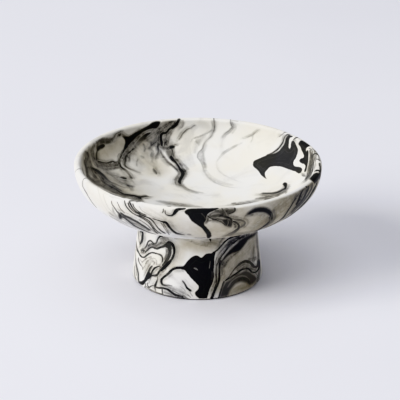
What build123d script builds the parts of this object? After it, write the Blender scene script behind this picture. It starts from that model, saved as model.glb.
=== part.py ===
from build123d import *
import os

# Ring dish: a shallow round bowl on a short conical foot. The bowl and the
# foot are separate castings, joined by a thin layer of adhesive, and a thin
# felt disc under the foot keeps it from scratching the table.
# All lengths are in millimetres. The origin is the middle of the circle that
# the dish stands on, with +Z up through the bowl.

# Overall sizes
rim_diameter = 120.0
overall_height = 59.8

# Foot: a cone, a little wider at the table than at the bowl
foot_top_diameter = 56.8
foot_base_diameter = 64.4
foot_top_round = 0.3
foot_base_round = 0.5

# Height of the bowl's flat underside, where it sits over the foot
seat_height = 32.6

# Bowl wall and its softly rounded lip
rim_wall = 3.2
floor_thickness = 4.6
lip_outer_round = 1.4
lip_inner_round = 1.4

# Locating spigot under the bowl, and its play in the foot's socket
spigot_diameter = 18.0
spigot_length = 4.0
spigot_chamfer = 0.8
spigot_play = 0.25
socket_depth_play = 0.5

# Adhesive between the two flat seats
adhesive_thickness = 0.3
adhesive_inset = 1.0

# Felt disc under the foot
felt_thickness = 0.6
felt_inset = 1.0

# How far the bowl's outer curve holds the direction of each of its ends:
# straight down from the lip, and slightly upwards from the seam. Each is a
# share of the curve's own rise or run.
outer_side_share = 0.58
outer_under_run_share = 0.47
outer_under_rise_share = 0.128

# The same for the inner curve, straight down from the lip and level at the
# middle of the bowl
inner_side_share = 0.80
inner_floor_share = 0.50

# Radii that several pieces share
rim_radius = rim_diameter / 2
inner_radius = rim_radius - rim_wall
foot_top_radius = foot_top_diameter / 2
foot_base_radius = foot_base_diameter / 2
spigot_radius = spigot_diameter / 2
socket_radius = spigot_radius + spigot_play

# Heights that several pieces share
outer_lip_height = overall_height - lip_outer_round
inner_lip_height = overall_height - lip_inner_round
floor_height = seat_height + floor_thickness
foot_top_height = seat_height - adhesive_thickness
foot_base_height = felt_thickness

# Reach of the bowl's two curves
outer_rise = outer_lip_height - seat_height
outer_run = rim_radius - foot_top_radius
inner_rise = inner_lip_height - floor_height

# Bowl: its half section turned about the vertical axis
with BuildPart() as bowl:
    with BuildSketch(Plane.XZ):
        with BuildLine():
            outer_curve = Bezier(
                (foot_top_radius, seat_height),
                (
                    foot_top_radius + outer_under_run_share * outer_run,
                    seat_height + outer_under_rise_share * outer_rise,
                ),
                (rim_radius, outer_lip_height - outer_side_share * outer_rise),
                (rim_radius, outer_lip_height),
            )
            outer_lip = JernArc(
                start=outer_curve @ 1, tangent=(0, 1), radius=lip_outer_round, arc_size=90
            )
            inner_curve = Bezier(
                (inner_radius, inner_lip_height),
                (inner_radius, inner_lip_height - inner_side_share * inner_rise),
                (inner_floor_share * inner_radius, floor_height),
                (0, floor_height),
            )
            inner_lip = JernArc(
                start=inner_curve @ 0, tangent=(0, 1), radius=lip_inner_round, arc_size=-90
            )
            Line(outer_lip @ 1, inner_lip @ 1)
            Polyline(inner_curve @ 1, (0, seat_height), outer_curve @ 0)
        make_face()
    revolve(axis=Axis.Z)

    # Locating spigot, standing down from the flat seat
    with BuildSketch(Plane.XY.offset(seat_height)):
        Circle(spigot_radius)
    extrude(amount=-spigot_length)
    spigot_end = bowl.edges().filter_by(GeomType.CIRCLE).sort_by(Axis.Z)[0]
    chamfer(spigot_end, spigot_chamfer)

# Foot: a solid cone that stands on the felt, with a socket in its top
with BuildPart() as foot:
    with BuildSketch(Plane.XZ):
        with BuildLine():
            Polyline(
                (0, foot_base_height),
                (foot_base_radius, foot_base_height),
                (foot_top_radius, foot_top_height),
                (0, foot_top_height),
                close=True,
            )
        make_face()
    revolve(axis=Axis.Z)
    top_edge = foot.edges().filter_by(GeomType.CIRCLE).sort_by(Axis.Z)[-1]
    fillet(top_edge, foot_top_round)
    base_edge = foot.edges().filter_by(GeomType.CIRCLE).sort_by(Axis.Z)[0]
    fillet(base_edge, foot_base_round)

    # Socket for the bowl's spigot
    with Locations((0, 0, foot_top_height)):
        Hole(radius=socket_radius, depth=spigot_length + socket_depth_play)

# Adhesive: a flat ring that fills the gap between the two seats
with BuildPart() as adhesive_layer:
    with BuildSketch(Plane.XY.offset(foot_top_height)):
        Circle(foot_top_radius - adhesive_inset)
        Circle(socket_radius, mode=Mode.SUBTRACT)
    extrude(amount=adhesive_thickness)

# Felt: a thin disc, set in a little from the foot's edge
with BuildPart() as felt_pad:
    with BuildSketch(Plane.XY):
        Circle(foot_base_radius - felt_inset)
    extrude(amount=felt_thickness)

os.makedirs("parts", exist_ok=True)

bowl.part.label = "bowl"
foot.part.label = "foot"
adhesive_layer.part.label = "adhesive_layer"
felt_pad.part.label = "felt_pad"

for piece in (bowl, foot, adhesive_layer, felt_pad):
    export_step(piece.part, f"parts/{piece.part.label}.step")
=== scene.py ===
import math

import bpy
import numpy as np
from mathutils import Matrix, Vector
from mathutils.bvhtree import BVHTree


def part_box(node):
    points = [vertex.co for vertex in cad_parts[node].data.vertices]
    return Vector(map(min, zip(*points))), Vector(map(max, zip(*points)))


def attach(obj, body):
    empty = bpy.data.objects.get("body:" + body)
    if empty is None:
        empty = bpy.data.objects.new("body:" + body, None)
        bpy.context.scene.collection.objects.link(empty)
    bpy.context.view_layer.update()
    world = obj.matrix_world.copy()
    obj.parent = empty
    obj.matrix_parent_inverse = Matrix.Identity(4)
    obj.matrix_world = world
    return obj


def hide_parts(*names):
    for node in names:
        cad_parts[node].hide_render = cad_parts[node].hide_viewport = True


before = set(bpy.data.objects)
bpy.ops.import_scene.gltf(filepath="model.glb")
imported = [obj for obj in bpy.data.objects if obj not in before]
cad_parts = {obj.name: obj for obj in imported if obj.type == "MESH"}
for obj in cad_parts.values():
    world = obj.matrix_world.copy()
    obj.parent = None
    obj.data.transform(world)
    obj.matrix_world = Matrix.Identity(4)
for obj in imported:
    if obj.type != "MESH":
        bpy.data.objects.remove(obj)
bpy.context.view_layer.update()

# The ring dish: two castings of marbled material, on a thin felt disc. The
# bowl and the foot are turned here again with fine meshes of the same section
# as the CAD pieces, because the marbling is laid on their vertices.
# Lengths are in metres, unless a name ends in _mm, _px or _share.
MM = 0.001

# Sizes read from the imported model
rim_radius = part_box("bowl")[1].x
lip_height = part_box("bowl")[1].z
spigot_end_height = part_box("bowl")[0].z
seat_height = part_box("adhesive_layer")[1].z
foot_base_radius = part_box("foot")[1].x
foot_base_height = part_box("foot")[0].z
foot_top_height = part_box("foot")[1].z

# Sizes that the boxes don't give
adhesive_inset = 1.0 * MM
foot_top_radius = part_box("adhesive_layer")[1].x + adhesive_inset
foot_top_round = 0.3 * MM
foot_base_round = 0.5 * MM
rim_wall = 3.2 * MM
floor_thickness = 4.6 * MM
lip_round = 1.4 * MM
spigot_radius = 9.0 * MM
spigot_chamfer = 0.8 * MM
spigot_play = 0.25 * MM
socket_depth = 4.5 * MM

# The bowl's two curves, as shares of their own rise or run
outer_side_share = 0.58
outer_under_run_share = 0.47
outer_under_rise_share = 0.128
inner_side_share = 0.80
inner_floor_share = 0.50

# Fineness of the turned meshes. Rings have half as many points inside each of
# the radius shares, and just one point on the axis. Where two directions of
# the outline agree less than the corner cosine, its edge stays sharp.
bowl_turn_segments = 600
foot_turn_segments = 384
ring_spacing = 0.62 * MM
hidden_ring_spacing = 3.0 * MM
lip_ring_spacing = 0.35 * MM
halving_radius_shares = (0.6, 0.3, 0.15)
axis_radius = 1e-9
corner_cosine = 0.9

# Points of each curve as it is first drawn
bezier_points = 400
quarter_points = 40
rounded_points = 7
spline_points = 12

# The photograph's view. The image is 400 pixels square.
image_px = 400
focal_px = 2049.0
view_distance = 1000.0 * MM
view_elevation = math.radians(22.95)
view_roll = math.radians(0.35)
view_target = Vector((1.06, 0.0, 39.02)) * MM
sensor_mm = 36.0

# Kinds of marbling: soft smoke, a tan tint, solid masses, light streaks and
# sharp veins. Most of the tan tint is painted warm shade, on the sides turned
# from the light and under the bowl; on the hidden sides it is made-up tan.
SMOKE, TAN_AND_SHADE, MASS, LIGHT, INK = "smoke", "tan", "mass", "light", "ink"

# The marbling, drawn over the photograph. Each entry is named, and
# holds its kind, its half width and its darkness along the line, and the
# points of its line in the photograph's pixels. A mass is a closed outline,
# and its half width is how soft its edge is. Later entries join the layers
# after earlier ones, so their order matters.
# Besides the marbling, these tables hold painted shade: the tan entries, and some smoke on the sides turned
# from the light and under the bowl's belly.
INSIDE = {
    "thick_vein": (
        INK, (1.5, 1.6, 2.2, 2.6, 1.9, 1.6, 1.3, 1.0, 0.8, 0.7, 0.8, 0.9, 0.9), 1.0,
        [(141, 132), (137, 134.5), (134, 136.5), (130, 140), (127.5, 144), (126, 147.5), (123.5, 151),
         (121.5, 155), (119.5, 160), (119.5, 163), (120.5, 165), (121, 167), (123, 168.5)]),
    "thick_vein_tail": (
        INK, (1.0, 1.1, 1.2, 1.1, 1.2, 1.3), (0.9, 0.55, 0.45, 0.6, 0.8),
        [(123, 168.5), (126, 170.5), (128, 173), (129.5, 175), (130.8, 177), (131.5, 178)]),
    "thick_vein_spur": (INK, (1.0, 0.6, 0.4), 0.85, [(130, 138.5), (126.5, 137.5), (124, 136), (122, 134)]),
    "rim_speck": (INK, (0.4, 1.2, 0.5), 1.0, [(119, 136.2), (120, 135), (121, 133.8)]),
    "rim_hair": (INK, 0.5, 0.85, [(114.5, 137.5), (115.5, 134.5), (118.5, 132.5), (121, 131)]),
    "second_vein": (
        INK, (0.8, 1.7, 2.0, 1.8, 1.4, 1.1, 0.9), (0.9, 0.95, 0.88, 0.75, 0.62, 0.55),
        [(150.5, 133), (147.5, 134.3), (144, 136.8), (141, 139.3), (138.5, 141.3), (136.5, 143.6),
         (135, 145.5), (133, 148)]),
    "second_vein_lower": (
        INK, (0.8, 0.8, 0.9, 1.2, 1.0, 0.9, 0.7), (0.75, 0.8, 0.95, 0.9, 0.6, 0.4, 0.3),
        [(133, 148), (130, 151), (128, 152), (126.5, 154), (125.3, 158), (124.8, 162), (124.8, 165),
         (127, 167.5), (130, 169), (134, 170.5), (137, 172), (140, 173)]),
    "vein_shade": (
        SMOKE, (1.5, 2.5, 2.8, 2.0, 1.2), (0.3, 0.5, 0.55, 0.5, 0.4),
        [(139, 137), (133, 143), (128.5, 149), (124, 156), (122.3, 161)]),
    "vein_light": (
        LIGHT, (0.4, 0.8, 0.8, 0.5), 0.8,
        [(122.2, 159), (121.8, 164), (123, 166.5), (126, 168.8), (130, 171), (135, 174)]),
    "vein_cloud": (SMOKE, (2.5, 3.2, 2.0), 0.38, [(132, 149), (129, 155), (129, 161)]),
    "cell_corner": (
        MASS, 1.0, 0.92,
        [(96.5, 150.5), (97, 146.5), (99, 145), (102, 144), (104.5, 144.5), (105, 146), (103, 148),
         (100, 149.5), (98.5, 151), (97, 151.5)]),
    "cell_side": (INK, 0.7, 0.9, [(97.5, 150), (96.8, 152), (96.5, 155), (96.5, 158), (96.3, 160)]),
    "cell_foot": (
        INK, (0.7, 1.0, 1.0, 0.9, 1.2, 0.9, 0.9, 0.7), 0.9,
        [(98, 161.5), (102, 162.6), (106, 163), (110, 162.4), (112.5, 161.3), (115, 162.3),
         (118, 161.8), (119.5, 161)]),
    "cell_tick": (INK, 0.5, 0.6, [(117.5, 157), (118.3, 155.5), (119.5, 153.5)]),
    "upper_hair": (INK, 0.5, 0.7, [(101, 138.5), (105, 139.2), (108.5, 139.5), (112, 138.5), (114.3, 136.5)]),
    "upper_band": (
        INK, (0.8, 1.6, 1.7, 1.2, 0.7), 0.68,
        [(96.8, 143.5), (100, 141), (105, 140.3), (110, 140.6), (113.5, 139)]),
    "upper_smoke": (SMOKE, (2.5, 3.6, 3.0), 0.6, [(97, 142.5), (103, 140.8), (112, 140)]),
    "far_smoke": (SMOKE, (2.0, 3.0, 3.0, 2.5), 0.52, [(94, 146), (92.5, 151), (93, 156), (94, 161)]),
    "far_hair_a": (
        INK, (0.5, 0.8, 0.7, 0.4, 0.4), 0.8,
        [(85, 151.6), (87, 152.3), (88, 154.5), (87.9, 157.5), (87.3, 161)]),
    "far_hair_b": (INK, 0.6, 0.4, [(84, 154), (85.3, 156.5), (85.5, 160), (84.8, 163)]),
    "far_hair_c": (INK, 0.7, 0.45, [(82, 168), (82.8, 171), (84, 174.5)]),
    "far_hair_d": (INK, 0.8, 0.75, [(84.5, 161), (85.5, 165), (86.5, 169), (87.5, 173)]),
    "far_light": (LIGHT, 0.5, 0.8, [(83, 163), (84, 168), (85, 172), (85.5, 175)]),
    "far_dark": (SMOKE, (3.5, 4.5, 4.0, 2.5), 0.78, [(88, 161), (89.5, 167), (91.5, 172), (95, 177)]),
    "low_vein_a": (
        INK, (1.2, 1.5, 1.4, 1.1, 0.9, 0.7, 0.6), (0.85, 0.86, 0.8, 0.68, 0.52, 0.4, 0.3),
        [(92, 168.5), (94.5, 169.7), (98, 171.5), (102, 174.5), (105.5, 178.2), (110, 181.7), (116, 184.3),
         (120, 186), (125, 187.8)]),
    "low_vein_b": (
        INK, (0.7, 0.8, 0.8, 0.7, 0.7, 0.8, 0.9, 0.9, 1.0), (0.55, 0.6, 0.7, 0.8, 0.9, 0.95, 0.95),
        [(95.5, 172.5), (98, 175), (100.5, 178), (103, 181), (106, 183.5), (109, 185.5), (112, 187.3),
         (115, 189), (117.5, 190.5), (120, 192.2), (124, 194.2), (129, 195), (135, 196), (138, 197),
         (140, 198)]),
    "low_fork_a": (INK, (1.0, 0.9, 0.7), 0.9, [(139, 197.8), (141.5, 196.7), (144, 196.3), (147, 196.2)]),
    "low_fork_b": (INK, (1.0, 1.0, 0.8), (0.8, 0.5, 0.4), [(140, 198.3), (141.3, 200), (143, 201.6)]),
    "low_fork_smear": (INK, 0.5, 0.55, [(145, 198.7), (148, 198.3)]),
    "low_tail": (SMOKE, 1.6, 0.4, [(143, 203), (147, 203), (152, 204.5)]),
    "low_vein_c": (
        INK, 0.8, (0.7, 0.6, 0.5, 0.6),
        [(87, 174), (90, 178), (93, 181), (96, 183.5), (100, 185.3), (104, 187), (107, 188.5), (110, 190),
         (114, 192), (118, 193.6)]),
    "low_island": (
        MASS, 1.6, 0.6, [(93.5, 181), (96, 179.4), (99, 179.4), (101.5, 181.5), (100, 183.6), (96.5, 183.6)]),
    "low_strata_a": (INK, 0.5, 0.7, [(101, 180), (104.5, 183), (108, 185.5), (112, 188)]),
    "low_strata_b": (INK, 0.5, 0.55, [(110, 186), (114, 187.2), (118, 189.3), (122, 191)]),
    "low_edge": (
        INK, 0.6, 0.5,
        [(85.5, 176.5), (88, 179), (92, 182.3), (95, 184.8), (100, 187.8), (104, 190), (108, 191.7),
         (113, 194), (119, 196), (124, 197.6), (130, 199)]),
    "low_shade": (SMOKE, (1.5, 2.5, 2.5, 1.5), 0.5, [(118, 193), (125, 196.5), (133, 198.5), (140, 200.5)]),
    "low_grey_a": (SMOKE, 3.0, 0.5, [(88, 177), (94, 181), (101, 185), (108, 189), (116, 193)]),
    "floor_band": (
        SMOKE, (1.4, 2.0, 2.2, 1.6), 0.55,
        [(95, 165), (98, 166.5), (102, 168), (106, 169), (112, 168.5), (118, 167.5), (121, 167)]),
    "floor_band_core": (INK, (0.5, 0.8, 0.5), 0.45, [(97, 166.4), (104, 168.6), (112, 168.6), (119, 167.4)]),
    "floor_dash": (INK, 0.8, 0.4, [(106.5, 172), (109, 173.5), (112, 175), (115.5, 175.5), (119, 176.5)]),
    "floor_smear": (INK, (0.6, 1.1, 0.8), 0.9, [(120.5, 177.5), (123.5, 178), (126, 178.7)]),
    "floor_trace": (SMOKE, 1.3, 0.3, [(120, 182.5), (126, 185), (131, 187)]),
    "floor_blob": (SMOKE, 1.8, 0.4, [(129.5, 185.8), (132.5, 186.2)]),
    "mid_bit_a": (INK, (0.8, 1.4, 0.9), 0.62, [(153, 142.2), (154.5, 141), (155.6, 139.6)]),
    "mid_bit_b": (INK, (0.8, 0.5), 0.8, [(151.5, 143.5), (153, 145)]),
    "mid_mottle": (SMOKE, 1.8, 0.45, [(143.5, 144.5), (145, 148), (144.3, 151)]),
    "mid_dot_a": (SMOKE, 1.8, 0.38, [(141.8, 156.5), (143.2, 157.5)]),
    "mid_dot_b": (INK, 0.8, 0.5, [(151.5, 153.5), (151.5, 156)]),
    "mid_dot_c": (SMOKE, 1.3, 0.3, [(152, 160), (152, 162)]),
    "mid_trace": (SMOKE, 1.2, 0.25, [(138, 159), (136.5, 163), (137, 166)]),
    "mid_ring_a": (
        INK, (0.9, 1.5, 1.3, 0.7), 0.66,
        [(153.9, 169), (154.8, 170.8), (155.8, 172.3), (156.6, 174)]),
    "back_vein": (
        INK, (1.2, 1.6, 1.9, 1.8, 1.4, 1.3, 1.6, 1.8, 1.6, 1.7, 1.6, 1.2), 0.99,
        [(179.5, 119), (178, 122), (175.5, 125), (172.5, 127), (169.5, 129), (167.5, 131.5), (165.3, 133.2),
         (162.5, 133.2), (161.2, 135.5), (160.8, 138.5), (161.3, 142), (162, 146)]),
    "back_branch": (
        INK, 0.8, 0.9,
        [(166.3, 133), (166.6, 136), (165.5, 139), (164.8, 142), (164.3, 146), (163.7, 148.5)]),
    "back_tail": (
        INK, (1.0, 1.4, 1.2, 1.1, 1.0, 1.0), (0.9, 0.9, 0.75, 0.6, 0.5),
        [(161, 143.8), (158.6, 144.6), (157.8, 147), (158.5, 150), (158.6, 153), (156.8, 155.5),
         (156.5, 158.5)]),
    "back_tick": (INK, 0.7, 0.85, [(162, 145), (163.4, 148)]),
    "back_blob": (INK, (1.2, 1.9, 1.4), 1.0, [(169.8, 148.6), (171.6, 147.2), (173.8, 146.6)]),
    "back_blob_tail": (INK, (1.0, 1.1, 1.4), 0.8, [(171, 148.5), (172.3, 151), (172, 154), (171.2, 157)]),
    "back_grey": (
        MASS, 1.5, 0.6,
        [(164.5, 150), (168, 149.5), (171, 149.5), (172.5, 152), (172, 155), (172.5, 159), (175.5, 163),
         (172.5, 161.5), (169.5, 158.5), (167, 155)]),
    "centre_vein": (
        INK, (1.6, 2.0, 1.6, 1.3, 1.2, 1.1, 1.3, 1.9, 2.2, 2.2, 1.8, 1.9, 2.1, 1.0), 0.99,
        [(171.3, 156), (171.8, 158.5), (173.5, 160.3), (175.5, 162), (177, 164), (178.5, 166.5),
         (180, 168.8), (181.5, 170.5), (182.8, 172.3), (182.6, 175), (181.3, 177.5), (180, 179.5),
         (179.5, 182), (180.5, 184)]),
    "centre_spur": (INK, 0.7, 0.8, [(183.5, 170), (185.3, 171.2)]),
    "centre_grey": (
        SMOKE, (1.2, 2.0, 2.0, 1.6), 0.62,
        [(160, 150.5), (163, 156), (166.5, 160.5), (170, 163.8), (174, 167), (178, 171)]),
    "centre_smoke": (
        SMOKE, (1.5, 2.2, 1.5), 0.3, [(176, 158), (179, 161), (182, 163.5), (185, 166), (188, 169)]),
    "back_hair": (INK, 0.8, 0.5, [(183.5, 122), (183, 125), (181, 128)]),
    "back_faint": (SMOKE, 1.2, 0.4, [(172, 130), (170.8, 134)]),
    "brown_vein": (
        INK, 0.7, (0.5, 0.6, 0.8, 0.8, 0.7),
        [(195, 125), (192.5, 126.5), (190.5, 128), (187, 129), (185.5, 130.5), (184, 132), (181.5, 135),
         (180.3, 137.5), (179, 139.5)]),
    "brown_echo": (SMOKE, 1.0, 0.25, [(201, 136), (196, 137.5), (192.5, 139), (191, 142)]),
    "back_dot": (INK, 1.0, 0.4, [(196, 141), (196.8, 143)]),
    "long_vein": (
        INK, (0.5, 0.8, 0.75, 0.5, 0.4, 0.4, 0.4, 0.4), (0.6, 0.85, 0.6, 0.5, 0.6, 0.68, 0.6, 0.5, 0.4),
        [(213.6, 118.5), (214, 122), (214.4, 126), (214, 129.5), (213, 132.5), (211.5, 135.5),
         (209.5, 138), (206.5, 140.5), (204, 144), (203, 147), (202, 149.5), (199.5, 151.5),
         (198.2, 153), (197.6, 156), (197.8, 157.5), (199.5, 160), (201.5, 163), (202.8, 166.5),
         (204.3, 170.5)]),
    "long_side": (
        SMOKE, 1.1, (0.36, 0.3, 0.2),
        [(211.5, 130), (208.5, 132.5), (205, 134), (200, 136.5), (195, 138)]),
    "long_smoke_a": (SMOKE, 3.0, 0.15, [(216, 119), (216, 125), (215, 130)]),
    "long_smoke_b": (SMOKE, 3.2, 0.14, [(206, 146), (202, 155), (205, 168)]),
    "right_vein": (
        INK, (0.4, 0.65, 0.6, 0.5, 0.4), (0.55, 0.92, 0.7, 0.6, 0.38),
        [(230.5, 120.5), (230.6, 123), (231.5, 125.5), (232.3, 127), (230.8, 128.8), (228.5, 131.2),
         (225.5, 133.2), (223.5, 135.5), (221.8, 137)]),
    "right_echo": (SMOKE, 1.4, 0.22, [(235, 124), (235.8, 127), (235, 130), (232.5, 133)]),
    "right_lip_hair": (INK, 0.5, 0.3, [(230.5, 120.5), (234, 120.8), (238, 121.5)]),
    "right_band": (
        SMOKE, (1.2, 2.0, 2.4, 2.2, 1.4), (0.2, 0.34, 0.36, 0.24, 0.08),
        [(242, 142.8), (237, 145.3), (234, 146.8), (229, 149.6), (225, 152.3), (220.5, 156.7), (216, 162)]),
    "right_trace": (
        INK, (0.35, 0.6, 0.5, 0.35), (0.3, 0.5, 0.55, 0.35),
        [(260, 129.8), (257, 131), (254.5, 133), (252.5, 134.8), (249, 136.5), (246.5, 137.7), (243, 139)]),
    "right_trace_b": (SMOKE, 1.5, 0.2, [(252.5, 136), (252.5, 139), (251, 142)]),
    "right_tick": (INK, 0.5, 0.6, [(279, 136.8), (281.5, 134.8), (285, 132.3)]),
    # Dark marbling whose tone stops short of black, as a painted sheen where it faces the light.
    "big_mass": (
        MASS, 0.4, 0.88,
        [(285.5, 138), (286.5, 136.5), (289, 135), (292, 136), (293, 137), (290.5, 137.5), (289.5, 139),
         (289, 142), (288.7, 146), (289, 148), (290.5, 147.5), (290.8, 144), (291.5, 141.5),
         (293, 140.5), (295, 142.5), (296.5, 146), (298, 149.5), (297.5, 153), (296.5, 156),
         (295.5, 158.5), (294, 160.5), (293.3, 163), (294, 165.5), (296.5, 166.8), (299.5, 167),
         (301.5, 168), (302.2, 169.5), (301.5, 171.5), (300.5, 173), (299, 173.3), (297.5, 172.5),
         (295, 171.3), (292, 170.7), (289.5, 169.7), (286, 168.5), (283, 167.3), (280, 166.4),
         (275, 166.2), (270.5, 166.8), (268.5, 168.2), (267, 170), (265.2, 172.5), (265, 174.5),
         (265.7, 177), (267.5, 180), (266, 179), (263.5, 177), (261, 175), (259, 172), (257, 169.5),
         (254.5, 167.5), (253, 166), (253, 163), (254, 161), (256.5, 159.5), (261, 157.5),
         (267, 155.3), (272, 153.8), (277, 152), (281, 148.5), (284, 144), (285, 141)]),
    "big_mass_edge": (
        INK, (0.5, 0.8, 0.8), 0.95,
        [(290, 135), (287, 134.8), (285, 136.3), (283.7, 139), (283, 142), (281.5, 144.8),
         (279.5, 147.3), (277, 149.8), (274.5, 151.5), (272, 153.3), (267, 155.3)]),
    "big_mass_streak": (
        LIGHT, (0.3, 0.45, 0.4), 0.55,
        [(287, 136.5), (285.5, 138), (284.5, 141), (283.6, 143.5), (281.8, 146.5), (279.5, 149),
         (276.5, 151.5), (273, 153.5)]),
    "big_mass_finger": (
        LIGHT, (0.6, 0.9, 0.9, 0.7), 0.9,
        [(289.7, 148), (289.8, 144), (291, 140.5), (293.5, 138.5), (296, 138), (298, 139.4)]),
    "big_mass_hair": (INK, 0.7, 0.85, [(297.5, 137.3), (295, 138.5), (293.5, 139.8)]),
    "side_mass": (
        MASS, 0.3, 0.93,
        [(298.4, 144.3), (299.5, 141.5), (301.5, 140.3), (304, 141.5), (307, 143.5), (310, 146),
         (307.5, 147.5), (306, 149.5), (306.3, 151), (308, 150), (308.5, 152.5), (308.4, 158),
         (308, 163), (307, 167.5), (306, 171), (304.8, 172.5), (304.3, 170.5), (305, 168),
         (305.3, 166), (304.5, 164.2), (302.5, 163.5), (300.5, 162.5), (299.3, 160.5), (300, 159.3),
         (302, 158), (303.5, 157.5), (303.8, 155.5), (302.8, 153), (301.5, 150.5), (300.6, 147.5),
         (299.6, 145.8)]),
    "side_mass_streak": (LIGHT, 0.6, 0.8, [(309, 147), (307, 148.3), (306.3, 150.5)]),
    "rim_strata_a": (INK, 0.7, 0.6, [(310, 150), (310.3, 156), (310, 163)]),
    "rim_strata_b": (INK, 0.6, 0.62, [(312.5, 151), (311.8, 156), (312, 162), (311.5, 168)]),
    "rim_strata_c": (INK, 0.6, 0.8, [(317.5, 154.5), (315.5, 153.3), (313.5, 154.5), (312.5, 157)]),
    "rim_strata_d": (INK, 0.4, 0.7, [(316, 158), (314.5, 158.5), (315, 160.5)]),
    "rim_strata_e": (INK, 0.5, 0.8, [(317, 159), (319, 159.5), (320.2, 161)]),
    "rim_strata_f": (INK, 0.6, 0.7, [(309, 165), (308.5, 170), (308.5, 174), (308, 177)]),
    "rim_strata_g": (INK, 0.6, 0.5, [(311, 160), (311, 166), (310, 172)]),
    "rim_strata_h": (INK, 0.6, 0.8, [(313.5, 163), (313, 168), (312.5, 171.5)]),
    "rim_strata_i": (INK, 0.5, 0.7, [(315.2, 164), (314.5, 168)]),
    "rim_light_a": (LIGHT, 0.5, 0.3, [(308, 163), (307.3, 169), (306.2, 174), (305.5, 177)]),
    "rim_light_b": (LIGHT, 0.6, 0.7, [(314, 170.5), (316.5, 168.5)]),
    "rim_arc": (INK, 0.8, 0.9, [(314.5, 171.5), (317, 170.3), (319.3, 171), (320.5, 174)]),
    "rim_mass": (
        MASS, 0.8, 0.95,
        [(309, 178.7), (311.5, 176), (314, 173.6), (316.3, 172.6), (318.5, 173), (320.4, 172), (320.8, 176),
         (319.8, 180), (317.6, 184), (314.8, 184.3), (313, 181.8), (311, 180.2)]),
    "rim_tick": (INK, 0.9, 0.85, [(306, 178.5), (307.5, 177), (309, 175)]),
    "rim_tick_b": (INK, 0.6, 0.6, [(302, 175), (304.3, 176.5)]),
    "hook_blob": (
        MASS, 0.7, 0.95,
        [(282.8, 184.6), (283.2, 183), (284.8, 182.3), (286.6, 182.8), (287.3, 184.4), (287, 186.5),
         (286.2, 188.8), (284, 190.3), (284.3, 188.3), (284.2, 186.6)]),
    "hook_vein": (
        INK, (1.0, 1.0, 0.9, 0.8, 0.7, 0.6), 0.88,
        [(286.3, 185.5), (286, 187.5), (283.5, 189.3), (280.5, 191), (277.5, 192.3), (274, 193),
         (269, 193.3), (262, 193.3)]),
    "hook_spots": (INK, 0.7, 0.5, [(287.5, 188.5), (286.3, 190.5), (286, 193)]),
    "front_dash_a": (INK, 0.5, 0.8, [(265, 199.2), (268.5, 198.8)]),
    "front_dash_b": (INK, 0.4, 0.5, [(271, 198.5), (275, 197.3), (279, 195.5)]),
    "front_smudge_a": (INK, 0.6, 0.6, [(241, 204.2), (244, 203.8)]),
    "front_smudge_b": (INK, 0.6, 0.6, [(232.5, 203.5), (235.5, 203.1)]),
    "lip_hair": (INK, 0.4, 0.4, [(75.5, 172), (76.2, 170.3), (78, 169), (80, 168.7)]),
    # Painted warm shade on the inner left wall and floor, which are turned from the light.
    "cell_tan_shade": (TAN_AND_SHADE, 13, 0.75, [(100, 153), (110, 150), (120, 143)]),
    "left_tan_shade": (TAN_AND_SHADE, 14, 0.8, [(88, 162), (98, 176), (118, 189)]),
    "mid_tan_shade": (TAN_AND_SHADE, 16, 0.55, [(132, 148), (144, 156), (154, 168)]),
    "junction": (
        MASS, 1.0, 1.0,
        [(121.3, 134.3), (124, 135.8), (129, 136.3), (133, 136.8), (131, 140.5), (128, 144.5), (126, 148.5),
         (123.3, 152), (121.8, 154), (122.8, 150), (124.2, 146), (125.2, 142.5), (124.8, 139.5),
         (122.8, 137.3)]),
    "cell_under": (SMOKE, (2.0, 3.0, 3.0, 2.2), 0.6, [(96, 163.5), (103, 165.5), (110, 165.5), (118, 164.5)]),
    "far_core": (INK, (0.5, 0.9, 0.9, 0.6), 0.3, [(93.5, 147), (92.3, 151), (93, 156), (94, 160)]),
    "far_grey": (SMOKE, (2.0, 2.5, 2.5), 0.4, [(89.5, 149), (89, 157), (90, 165)]),
    "low_grey_b": (SMOKE, (2.0, 2.5, 2.5, 1.5), 0.38, [(99, 173), (104, 180), (111, 185), (120, 190)]),
    "floor_olive_a": (
        SMOKE, (2.0, 3.2, 3.0, 2.0), 0.32,
        [(103, 170.5), (112, 176), (122, 183), (131, 187.5)]),
    "floor_olive_b": (SMOKE, 2.6, 0.38, [(125.5, 181), (129.5, 185.5), (132, 190)]),
    "floor_olive_c": (SMOKE, (2.0, 3.0, 2.5), 0.18, [(121, 171), (127, 177), (134, 184)]),
    "back_shade_a": (SMOKE, (6.0, 8.0, 8.0, 6.0), 0.52, [(172, 122), (163, 127), (155, 133), (147, 139)]),
    "back_shade_b": (SMOKE, 5.0, 0.4, [(160, 138), (154, 142), (149, 147)]),
    "back_right_shade": (
        SMOKE, (2.5, 3.2, 3.2, 2.5), 0.48,
        [(173, 129), (168.5, 136), (167, 144), (169, 151)]),
    "mid_mottle_b": (SMOKE, 1.6, 0.45, [(147.5, 140.5), (150.5, 142.5), (151, 145)]),
    "mid_mottle_c": (SMOKE, 2.0, 0.35, [(150, 149), (152.5, 152), (151.5, 156)]),
    "rim_strata_j": (INK, 0.5, 0.5, [(314, 151), (314.6, 156), (314, 162)]),
    "hook_shade": (SMOKE, (1.8, 2.4, 2.4, 1.6), 0.5, [(284, 192), (276, 195.2), (268, 197), (258, 198.5)]),
    "centre_end": (SMOKE, (1.8, 2.2, 1.5), 0.35, [(181, 184), (187, 189), (197, 193)]),
    "centre_hair": (
        INK, (0.8, 0.6, 0.5), (0.6, 0.35, 0.2),
        [(180.5, 184), (185, 188), (193, 191), (203, 193)]),
    "front_hair": (INK, 0.6, 0.35, [(160, 201), (172, 203.5), (188, 205)]),
    "rim_hair_a": (INK, 0.45, 0.65, [(309, 148), (311.5, 150), (312.8, 154), (313, 160), (312.8, 168)]),
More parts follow.
